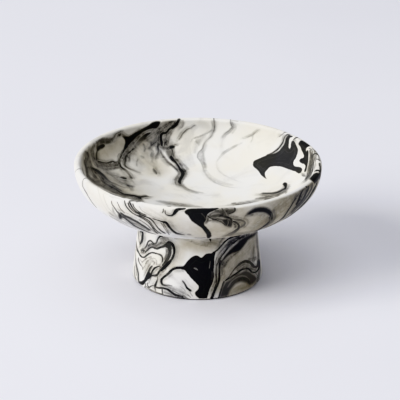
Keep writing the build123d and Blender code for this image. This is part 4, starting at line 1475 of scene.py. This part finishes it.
class Smoke:
    """Smoke, and also the tan tint that is mostly painted warm shade, gathered on the vertices:
    its darkness, the offset that its streaks follow, and how strong they are."""

    def __init__(self, count):
        self.dark = np.zeros(count)
        self.strongest = np.zeros(count)
        self.offset = np.zeros(count)
        self.streak = np.zeros(count)

    def add(self, index, dark, offset, streak):
        self.dark[index] = 1 - (1 - self.dark[index]) * (1 - dark)
        leads = dark > self.strongest[index]
        self.strongest[index[leads]] = dark[leads]
        self.offset[index[leads]] = offset[leads]
        self.streak[index[leads]] = streak

    def values(self):
        return np.stack([self.dark, self.offset, self.streak], axis=1)


def smoke_dark(half, tone, distance):
    """The darkness of smoke, falling off from its line to nothing at its half width."""
    share = np.clip(distance / np.maximum(half, least_half_mm), 0, 1)
    return np.where(half > 0, tone * (1 - share ** 2) ** smoke_falloff, 0)


def haze_dark(line, side, half, tone, distance, along, start):
    """The darkness of the haze beside a vein, which swells on one side and then the other."""
    gap = np.maximum(distance - np.maximum(half, 0), 0)
    swell = 1 + haze_swell * np.sin(along / haze_wave_mm + start) * np.sign(side)
    width = (haze_least_mm + haze_growth * np.median(line.half_mm)) * swell
    return line.haze * tone * np.exp(-(gap / width) ** 2 * haze_falloff)


def layer_with_room(held, claimed, count):
    """The first of the held layers with no line on the claimed vertices yet, or else a new one."""
    for values, used in held:
        if not used[claimed].any():
            return values, used
    held.append((np.tile(np.array([0.0, nothing_mm, 0.0]), (count, 1)), np.zeros(count, bool)))
    return held[-1]


def lay(surface, lines_and_weights, smoke_share):
    """Packs the lines of each kind into layers whose lines stay clear of each other. Each
    layer holds an offset, a half width and a darkness for every vertex. Smoke and the tan
    tint, which is mostly painted warm shade, are gathered into a layer each, weakened by a
    share for each vertex."""
    count = len(surface.points)
    layers = {kind: [] for kind in (MASS, LIGHT, INK)}
    smoke = {kind: Smoke(count) for kind in (SMOKE, TAN_AND_SHADE)}
    for number, (line, weight) in enumerate(lines_and_weights):
        index, side, half, tone, distance, along = measure(surface, line, weight)
        if len(index) == 0 or half.max() <= 0:
            continue
        start = streak_start_mm * number
        if line.kind in smoke:
            dark = smoke_dark(half, tone, distance) * weight[index]
            smoke[line.kind].add(index, dark, side + start, smoke_streak)
            continue
        if line.haze > 0:
            dark = haze_dark(line, side, half, tone, distance, along, start) * weight[index]
            smoke[SMOKE].add(index, dark, side + start, haze_streak)
        away = -side if line.kind == MASS else np.abs(side)
        written = away < half + reach_mm
        values, used = layer_with_room(layers[line.kind], index[away < half + clear_mm], count)
        values[index[written]] = np.stack([side, half, tone], axis=1)[written]
        used[index[written]] = True
    for gathered in smoke.values():
        gathered.dark *= smoke_share
    found = {kind: [values for values, used in held] for kind, held in layers.items()}
    found.update({kind: [gathered.values()] for kind, gathered in smoke.items()})
    return found


# Meshes

def mesh_object(surface):
    """The Blender object of a turned piece, smooth but for its corners."""
    mesh = bpy.data.meshes.new(surface.name)
    mesh.from_pydata(surface.points.tolist(), [], surface.faces)
    mesh.shade_smooth()
    for edge in mesh.edges:
        pair = tuple(sorted(edge.vertices))
        if pair in surface.sharp_edges:
            edge.use_edge_sharp = True
    made = bpy.data.objects.new(surface.name, mesh)
    bpy.context.scene.collection.objects.link(made)
    return made


def store_layers(made, layers):
    """Writes the layers as vertex attributes, and returns their names by kind."""
    names = {}
    for kind, found in layers.items():
        names[kind] = []
        for number, values in enumerate(found):
            name = f"{kind}_{number}"
            attribute = made.data.attributes.new(name, "FLOAT_VECTOR", "POINT")
            attribute.data.foreach_set("vector", values.astype(np.float32).ravel())
            names[kind].append(name)
    return names


# Materials

# Shades of the materials: a place on the ramp and a display colour. Those of
# the marbling run from bare casting to the darkest vein, cool in some places
# and warm in others.
cool_shades = (
    (0.0, (232, 231, 228)), (0.25, (190, 189, 187)), (0.5, (138, 137, 135)),
    (0.75, (85, 85, 86)), (0.92, (46, 46, 47)), (1.0, (34, 34, 35)))
warm_shades = (
    (0.0, (232, 229, 221)), (0.25, (188, 185, 176)), (0.5, (137, 133, 123)),
    (0.75, (84, 82, 76)), (0.92, (46, 46, 45)), (1.0, (34, 34, 34)))
# The colour of the tan tint, which is mostly painted warm shade
tan_shade_tint = (203, 195, 174)
# The felt's dark shades, which also stand in for the contact shade round the foot's base
felt_and_contact_shades = ((0.0, (20, 20, 22)), (1.0, (58, 56, 57)))
adhesive_shades = ((0.0, (196, 190, 174)), (1.0, (222, 218, 206)))
floor_shades = ((0.0, (237, 237, 243)), (1.0, (241, 241, 247)))

# Noise keeps close to its middle, and steps run over one of these spans of it
middle_span = (0.35, 0.65)
wide_span = (0.3, 0.7)

# The edges of the marbling: how far drift and grain move them, the least swell
# of a vein and what drift adds to it, how soft veins are and what the bowl's
# inside adds to that, and how much thin veins fade, from the half widths in
# millimetres where they fade in full and not at all
drift_shift_mm = 0.7
grain_shift_mm = 0.3
least_swell = 0.55
added_swell = 0.9
vein_softness_mm = (0.13, 0.26)
inside_softness_mm = 0.26
vein_fading = (0.25, 0.0)
fading_halves_mm = (0.3, 1.0)

# Streaks in smoke and strata in masses: how many fall on a millimetre, and how
# much the moved edges and drift make them waver
streaks_per_mm = 1.1
streak_waver = 1.5
streak_drift = 1.2
strata_per_mm = 1.4
strata_drift = 1.5

# The darkness within: what wisps, streaks and strata make of it, that of the
# faint clouds on bare casting, and how grain breaks up veins
wisp_darkening = (0.6, 1.15)
streak_darkening = (-0.75, 0.45)
strata_darkening = (1.0, 0.93)
cloud_dark = 0.11
grain_darkening = (0.95, 1.03)

# What wisps make of the tan tint, which is mostly painted warm shade, and what the
# darkness under it leaves of it
wisp_tinting = (0.75, 1.15)
dark_tinting = (1.0, 0.25)

# The finishes: satin on the marbling, with a little tooth on its waves, matted
# lumps and fibres in the felt, and a dull adhesive
satin_roughness = (0.42, 0.54)
satin_specular = 0.16
tooth_share = 0.06
lump_share = 0.35
adhesive_roughness = (0.35, 0.55)


class Nodes:
    """Short ways to add the shader nodes used here."""

    def __init__(self, name):
        self.material = bpy.data.materials.new(name)
        self.material.use_nodes = True
        self.tree = self.material.node_tree
        self.shader = self.tree.nodes["Principled BSDF"]

    def add(self, kind, inputs=(), **settings):
        node = self.tree.nodes.new(kind)
        for key, value in settings.items():
            setattr(node, key, value)
        for key, value in dict(inputs).items():
            self.join(value, node.inputs[key])
        return node

    def join(self, value, socket):
        if isinstance(value, bpy.types.NodeSocket):
            self.tree.links.new(value, socket)
        else:
            socket.default_value = value

    def give(self, name, value):
        """Gives the shader's input of this name a constant, or another node's value."""
        self.join(value, self.shader.inputs[name])

    def millimetres(self):
        """The place on the piece, in millimetres."""
        place = self.add("ShaderNodeTexCoord").outputs["Object"]
        scaled = self.add("ShaderNodeVectorMath", {0: place, "Scale": 1 / MM}, operation="SCALE")
        return scaled.outputs[0]

    def split(self, vector):
        return tuple(self.add("ShaderNodeSeparateXYZ", {0: vector}).outputs)

    def combine(self, *values):
        return self.add("ShaderNodeCombineXYZ", dict(enumerate(values))).outputs[0]

    def attribute(self, name, output):
        node = self.add("ShaderNodeAttribute", attribute_name=name, attribute_type="GEOMETRY")
        return node.outputs[output]

    def math(self, operation, first, second=0.0, third=0.0, clamp=False):
        node = self.add("ShaderNodeMath", {0: first, 1: second, 2: third}, operation=operation)
        node.use_clamp = clamp
        return node.outputs[0]

    def step(self, value, span, target=(0.0, 1.0)):
        """A soft step: a value that runs over a span, carried to the two ends of a target."""
        node = self.add("ShaderNodeMapRange", {
            "Value": value, "From Min": span[0], "From Max": span[1],
            "To Min": target[0], "To Max": target[1],
        }, interpolation_type="SMOOTHSTEP")
        return node.outputs["Result"]

    def noise(self, vector, scale, detail=2.0, rough=0.5, distort=0.0, output="Fac"):
        node = self.add("ShaderNodeTexNoise", {
            "Vector": vector, "Scale": scale, "Detail": detail, "Roughness": rough, "Distortion": distort,
        })
        return node.outputs[output]

    def ramp(self, value, shades):
        node = self.add("ShaderNodeValToRGB", {0: value})
        elements = node.color_ramp.elements
        while len(elements) < len(shades):
            elements.new(0.5)
        for element, (place, colour) in zip(elements, shades):
            element.position = place
            element.color = srgb(*colour)
        return node.outputs["Color"]

    def mix(self, share, first, second, blend="MIX"):
        """A mix of two colours. The node's inputs 6 and 7 and its output 2 are those for colour."""
        node = self.add("ShaderNodeMix", data_type="RGBA", blend_type=blend)
        self.join(share, node.inputs[0])
        self.join(first, node.inputs[6])
        self.join(second, node.inputs[7])
        return node.outputs[2]

    def bump(self, height, strength, distance_mm):
        settings = {"Height": height, "Strength": strength, "Distance": distance_mm * MM}
        self.give("Normal", self.add("ShaderNodeBump", settings).outputs["Normal"])


class Marbling(Nodes):
    """The shader of a marbled casting: noise that its layers share, and what is made of each."""

    def __init__(self, name):
        super().__init__(name)
        self.in_mm = self.millimetres()
        self.drift = self.split(self.noise(self.in_mm, scale=0.22, detail=3.0, output="Color"))
        self.grain = self.noise(self.in_mm, scale=0.9)
        self.wisps = self.noise(self.in_mm, scale=0.35, detail=4.0, rough=0.6, distort=0.6)
        self.shift = self.edge_shift()
        self.swell = self.math("MULTIPLY_ADD", self.drift[1], added_swell, least_swell)
        feather = self.split(self.noise(self.in_mm, scale=0.3, output="Color"))
        soft = self.step(feather[0], middle_span, vein_softness_mm)
        inward = self.attribute("inward", "Fac")
        self.soft = self.math("MULTIPLY_ADD", inward, inside_softness_mm, soft)
        self.fading = self.step(feather[1], (0.32, 0.6), vein_fading)

    def edge_shift(self):
        """How far drift and grain move an edge, to either side."""
        shift = self.math("MULTIPLY_ADD", self.drift[0], drift_shift_mm, -drift_shift_mm / 2)
        shift = self.math("MULTIPLY_ADD", self.grain, grain_shift_mm, shift)
        return self.math("SUBTRACT", shift, grain_shift_mm / 2)

    def layer(self, name):
        """The three values of a layer."""
        return self.split(self.attribute(name, "Vector"))

    def smoke(self, name):
        """Wide and pale, broken by wisps and by streaks that run along the lines."""
        gathered, offset, streak = self.layer(name)
        follow = self.math("MULTIPLY", offset, streaks_per_mm)
        waver = self.math("MULTIPLY", self.shift, streak_waver)
        drifting = self.math("MULTIPLY", self.drift[2], streak_drift)
        across = self.combine(self.math("ADD", follow, waver), drifting)
        streaks = self.noise(across, scale=1.0, detail=3.0, rough=0.6)
        streaks = self.step(streaks, middle_span, streak_darkening)
        streaks = self.math("MULTIPLY_ADD", streaks, streak, 1.0)
        dark = self.math("MULTIPLY", gathered, self.step(self.wisps, (0.25, 0.7), wisp_darkening))
        dark = self.math("MULTIPLY", dark, streaks)
        clouds = self.step(self.noise(self.in_mm, scale=0.085, detail=3.0, distort=0.8), (0.5, 0.75))
        return self.math("MAXIMUM", dark, self.math("MULTIPLY", clouds, cloud_dark))

    def mass(self, name):
        """Solid, with strata that follow its outline and an edge as soft as it calls for."""
        softness, depth, tone = self.layer(name)
        edge = self.math("ADD", depth, self.shift)
        strata = self.combine(
            self.math("MULTIPLY", edge, strata_per_mm),
            self.math("MULTIPLY", self.drift[2], strata_drift),
            self.math("MULTIPLY", self.drift[0], strata_drift))
        strata = self.step(self.noise(strata, scale=1.0), (0.5, 0.8), strata_darkening)
        filled = self.step(edge, (self.math("MULTIPLY", softness, -1.0), softness))
        return self.math("MULTIPLY", filled, self.math("MULTIPLY", tone, strata))

    def lines(self, names):
        """The strongest of all lines in some layers."""
        strongest = 0.0
        for name in names:
            side, half, tone = self.layer(name)
            moved = self.math("ABSOLUTE", self.math("ADD", side, self.shift))
            edge = self.math("SUBTRACT", self.math("MULTIPLY", half, self.swell), moved)
            filled = self.step(edge, (self.math("MULTIPLY", self.soft, -1.0), self.soft))
            fading = self.math("MULTIPLY", self.fading, self.step(half, fading_halves_mm, (1.0, 0.0)))
            tone = self.math("MULTIPLY", tone, self.math("SUBTRACT", 1.0, fading))
            strongest = self.math("MAXIMUM", strongest, self.math("MULTIPLY", filled, tone))
        return strongest

    def darkness(self, layers):
        """Smoke and the masses, light streaks over them, and the sharp veins on top."""
        dark = self.smoke(layers[SMOKE][0])
        for name in layers[MASS]:
            dark = self.math("MAXIMUM", dark, self.mass(name))
        dark = self.math("MULTIPLY", dark, self.math("SUBTRACT", 1.0, self.lines(layers[LIGHT])))
        broken = self.step(self.grain, wide_span, grain_darkening)
        veins = self.math("MULTIPLY", self.lines(layers[INK]), broken)
        return self.math("MAXIMUM", dark, veins, clamp=True)

    def colour(self, dark, tan_shade_name):
        """The shade for a darkness, cool or warm from place to place, under the tan tint,
        which is mostly painted warm shade.
        """
        warmth = self.step(self.noise(self.in_mm, scale=0.06), middle_span)
        shade = self.mix(warmth, self.ramp(dark, cool_shades), self.ramp(dark, warm_shades))
        tint = self.layer(tan_shade_name)[0]
        tint = self.math("MULTIPLY", tint, self.step(self.wisps, (0.2, 0.8), wisp_tinting))
        tint = self.math("MULTIPLY", tint, self.step(dark, (0.2, 0.9), dark_tinting))
        return self.mix(tint, shade, srgb(*tan_shade_tint), blend="MULTIPLY")

    def satin(self):
        """A satin finish, a little rougher in places, on a faintly uneven surface."""
        patches = self.noise(self.in_mm, scale=0.15, detail=3.0)
        self.give("Roughness", self.step(patches, wide_span, satin_roughness))
        self.give("Specular IOR Level", satin_specular)
        waves = self.noise(self.in_mm, scale=0.12, detail=1.0)
        tooth = self.noise(self.in_mm, scale=3.0)
        self.bump(self.math("MULTIPLY_ADD", tooth, tooth_share, waves), strength=0.35, distance_mm=0.12)


def marbled_material(name, layers):
    """Cream casting with the laid marbling: its darkness is gathered kind by kind, then coloured."""
    n = Marbling(name)
    n.give("Base Color", n.colour(n.darkness(layers), layers[TAN_AND_SHADE][0]))
    n.satin()
    return n.material


def felt_and_contact_shade_material():
    """Dense dark felt: matted fibres that catch a little light. Its dark rim under the
    foot also stands in for the contact shade round the base.
    """
    n = Nodes("felt_dark_and_contact_shade")
    in_mm = n.millimetres()
    fibres = n.noise(in_mm, scale=3.5, detail=6.0, rough=0.7, distort=2.5)
    lumps = n.noise(in_mm, scale=0.4)
    shade = n.math("MULTIPLY_ADD", lumps, lump_share, n.math("MULTIPLY", fibres, 1 - lump_share))
    n.give("Base Color", n.ramp(n.step(shade, wide_span), felt_and_contact_shades))
    n.give("Roughness", 0.95)
    n.give("Sheen Weight", 0.25)
    n.bump(fibres, strength=0.6, distance_mm=0.15)
    return n.material


def adhesive_material():
    """Dried off-white adhesive, faintly mottled."""
    n = Nodes("adhesive_dry")
    mottle = n.noise(n.millimetres(), scale=0.8, detail=4.0)
    n.give("Base Color", n.ramp(n.step(mottle, wide_span), adhesive_shades))
    n.give("Roughness", n.step(mottle, wide_span, adhesive_roughness))
    n.bump(mottle, strength=0.4, distance_mm=0.05)
    return n.material


def floor_material():
    """A pale matt ground, all but even."""
    n = Nodes("pale_floor")
    place = n.add("ShaderNodeTexCoord").outputs["Object"]
    n.give("Base Color", n.ramp(n.noise(place, scale=9.0), floor_shades))
    n.give("Roughness", 0.7)
    return n.material


# Building the pieces

# Which bundles of veins are made up for the hidden sides, and where. The lean
# is the course that they keep to: level at 0, straight up at a quarter turn.
# They run a little past the edges of the two seats and of the foot's base, and
# stop short of the middle of the bowl's floor.
inner_bundles, inner_lean, inner_seed = 34, 0.9, 11
outer_bundles, outer_lean, outer_seed = 34, 0.7, 5
foot_bundles, foot_lean, foot_seed = 24, 1.0, 3
calm_middle = 8.0 * MM
past_seat = 2.0 * MM
past_base = 3.0 * MM

# A hidden point faces away by more than the first cosine, and fully so at the
# second. Inside the bowl, its view runs past the near lip by these distances.
facing_away = (0.06, -0.3)
past_lip = (0.5 * MM, 8.0 * MM)

# How far drawn lines reach over the middle of the lip from each side, where
# smoke and tan fade beside the lip's flat top, which is left bare as a painted
# highlight, and the run over which veins get softer from the lip inwards
lip_overlap = 4.0 * MM
lip_highlight_fade = (-0.9 * MM, 0.3 * MM)
inward_run = 2.0 * MM


def hidden_outside(surface, angle, place):
    """For each point, 0 where the photograph shows it, rising to 1 where it faces well away."""
    toward = view_place - surface.at(angle, place)
    toward /= np.linalg.norm(toward, axis=1)[:, None]
    return smoothstep(*facing_away, (surface.normal_at(angle, place) * toward).sum(1))


def hidden_inside(surface, angle, place):
    """For each point of the bowl's inside, 0 where the photograph shows it, rising to 1 well
    behind the near lip."""
    points = surface.at(angle, place)
    toward = view_place - points
    climb = (lip_height - points[:, 2]) / toward[:, 2]
    crossing = points[:, :2] + climb[:, None] * toward[:, :2]
    return smoothstep(*past_lip, np.linalg.norm(crossing, axis=1) - (rim_radius - rim_wall))


def traced_lines(surface, node, allowed, table, haze_strengths):
    """All lines of a table that reach the allowed stretch of a surface, carried onto it."""
    tree = BVHTree.FromObject(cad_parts[node], bpy.context.evaluated_depsgraph_get())
    found = [traced(surface, tree, allowed, entry, haze_strengths) for entry in table.values()]
    return [line for line in found if line is not None]


def place_at_radius(surface, radius, height):
    return surface.place_of(Vector((radius, 0, height)))[1]


def bowl_layers(surface, lip_place):
    """The marbling of the bowl, inside and outside: drawn lines, and veins on the hidden sides."""
    seat_place = place_at_radius(surface, foot_top_radius, seat_height)
    end_place = surface.along[-1]
    inside = traced_lines(surface, "bowl", (lip_place - lip_overlap, end_place), INSIDE, inside_haze)
    outside = traced_lines(surface, "bowl", (seat_place, lip_place + lip_overlap), OUTSIDE, outside_haze)
    inner = Flow(
        surface, (lip_place, end_place - calm_middle), hidden_inside, inner_lean, outside_haze, inner_seed)
    outer = Flow(
        surface, (seat_place - past_seat, lip_place), hidden_outside, outer_lean, outside_haze, outer_seed)
    everywhere = np.ones(len(surface.points))
    is_inside = surface.place > lip_place
    behind_lip = hidden_inside(surface, surface.angle, surface.place) * is_inside
    turned_away = hidden_outside(surface, surface.angle, surface.place) * ~is_inside
    laid = [(line, everywhere) for line in inside + outside]
    laid += [(line, behind_lip) for line in inner.lines(inner_bundles)]
    laid += [(line, turned_away) for line in outer.lines(outer_bundles)]
    # Smoke and tan are kept off the lip's flat top: a painted highlight along the lip.
    from_lip = np.abs(surface.place - lip_place) - rim_wall / 2
    return lay(surface, laid, smoothstep(*lip_highlight_fade, from_lip))


def make_marbled_bowl():
    surface = make_bowl()
    lip_place = place_at_radius(surface, rim_radius - rim_wall / 2, lip_height)
    layers = bowl_layers(surface, lip_place)
    made = mesh_object(surface)
    names = store_layers(made, layers)
    inward = smoothstep(0, inward_run, surface.place - lip_place)
    attribute = made.data.attributes.new("inward", "FLOAT", "POINT")
    attribute.data.foreach_set("value", inward.astype(np.float32))
    made.data.materials.append(marbled_material("marbled_bowl_finish", names))
    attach(made, "root")
    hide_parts("bowl")


def foot_layers(surface):
    """The marbling of the foot: drawn lines, and veins on the hidden sides."""
    base_place = place_at_radius(surface, foot_base_radius, foot_base_height)
    top_place = place_at_radius(surface, foot_top_radius, foot_top_height)
    drawn = traced_lines(surface, "foot", (0, surface.along[-1]), FOOT, outside_haze)
    stretch = (base_place - past_base, top_place + past_seat)
    flow = Flow(surface, stretch, hidden_outside, foot_lean, outside_haze, foot_seed)
    everywhere = np.ones(len(surface.points))
    turned_away = hidden_outside(surface, surface.angle, surface.place)
    laid = [(line, everywhere) for line in drawn]
    laid += [(line, turned_away) for line in flow.lines(foot_bundles)]
    return lay(surface, laid, everywhere)


def make_marbled_foot():
    surface = make_foot()
    layers = foot_layers(surface)
    made = mesh_object(surface)
    names = store_layers(made, layers)
    made.data.materials.append(marbled_material("marbled_foot_finish", names))
    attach(made, "root")
    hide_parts("foot")


def finish_cad_node(node, material):
    """Gives a CAD piece that stays as it is a better material."""
    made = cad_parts[node]
    made.data.materials.clear()
    made.data.materials.append(material)


# Floor, light and camera

# Half the floor's side, where the lamps aim, and the light all round
floor_half = 4.0
light_aim = Vector((0, 0, 0.03))
world_colour = (226, 227, 233)
world_strength = 0.34


def make_floor():
    corners = [
        (-floor_half, -floor_half, 0), (floor_half, -floor_half, 0),
        (floor_half, floor_half, 0), (-floor_half, floor_half, 0)]
    mesh = bpy.data.meshes.new("floor")
    mesh.from_pydata(corners, [], [(0, 1, 2, 3)])
    made = bpy.data.objects.new("floor", mesh)
    bpy.context.scene.collection.objects.link(made)
    mesh.materials.append(floor_material())


def make_light(name, place, size, watts, colour):
    """A round lamp that shines at the dish."""
    data = bpy.data.lights.new(name, "AREA")
    data.shape = "DISK"
    data.size = size
    data.energy = watts
    data.color = colour
    made = bpy.data.objects.new(name, data)
    made.location = place
    made.rotation_euler = (light_aim - Vector(place)).to_track_quat("-Z", "Y").to_euler()
    bpy.context.scene.collection.objects.link(made)


def make_world():
    world = bpy.data.worlds.new("studio")
    world.use_nodes = True
    background = world.node_tree.nodes["Background"]
    background.inputs["Color"].default_value = srgb(*world_colour)
    background.inputs["Strength"].default_value = world_strength
    bpy.context.scene.world = world


def make_camera():
    data = bpy.data.cameras.new("camera")
    data.sensor_width = sensor_mm
    data.lens = focal_px / image_px * sensor_mm
    data.clip_start, data.clip_end = 0.05, 20.0
    made = bpy.data.objects.new("camera", data)
    turn = Matrix((view_right, view_up, -view_forward)).transposed()
    made.matrix_world = Matrix.Translation(Vector(view_place)) @ turn.to_4x4()
    bpy.context.scene.collection.objects.link(made)
    bpy.context.scene.camera = made


make_marbled_bowl()
make_marbled_foot()
finish_cad_node("felt_pad", felt_and_contact_shade_material())
finish_cad_node("adhesive_layer", adhesive_material())
make_floor()
make_world()
make_light("window", place=(-1.558, -0.759, 1.03), size=1.35, watts=38.5, colour=(1.0, 0.995, 0.985))
make_light("ceiling", place=(0.25, 0.1, 2.3), size=3.0, watts=28.5, colour=(0.97, 0.98, 1.0))
make_camera()
bpy.context.scene.view_settings.view_transform = "Khronos PBR Neutral"
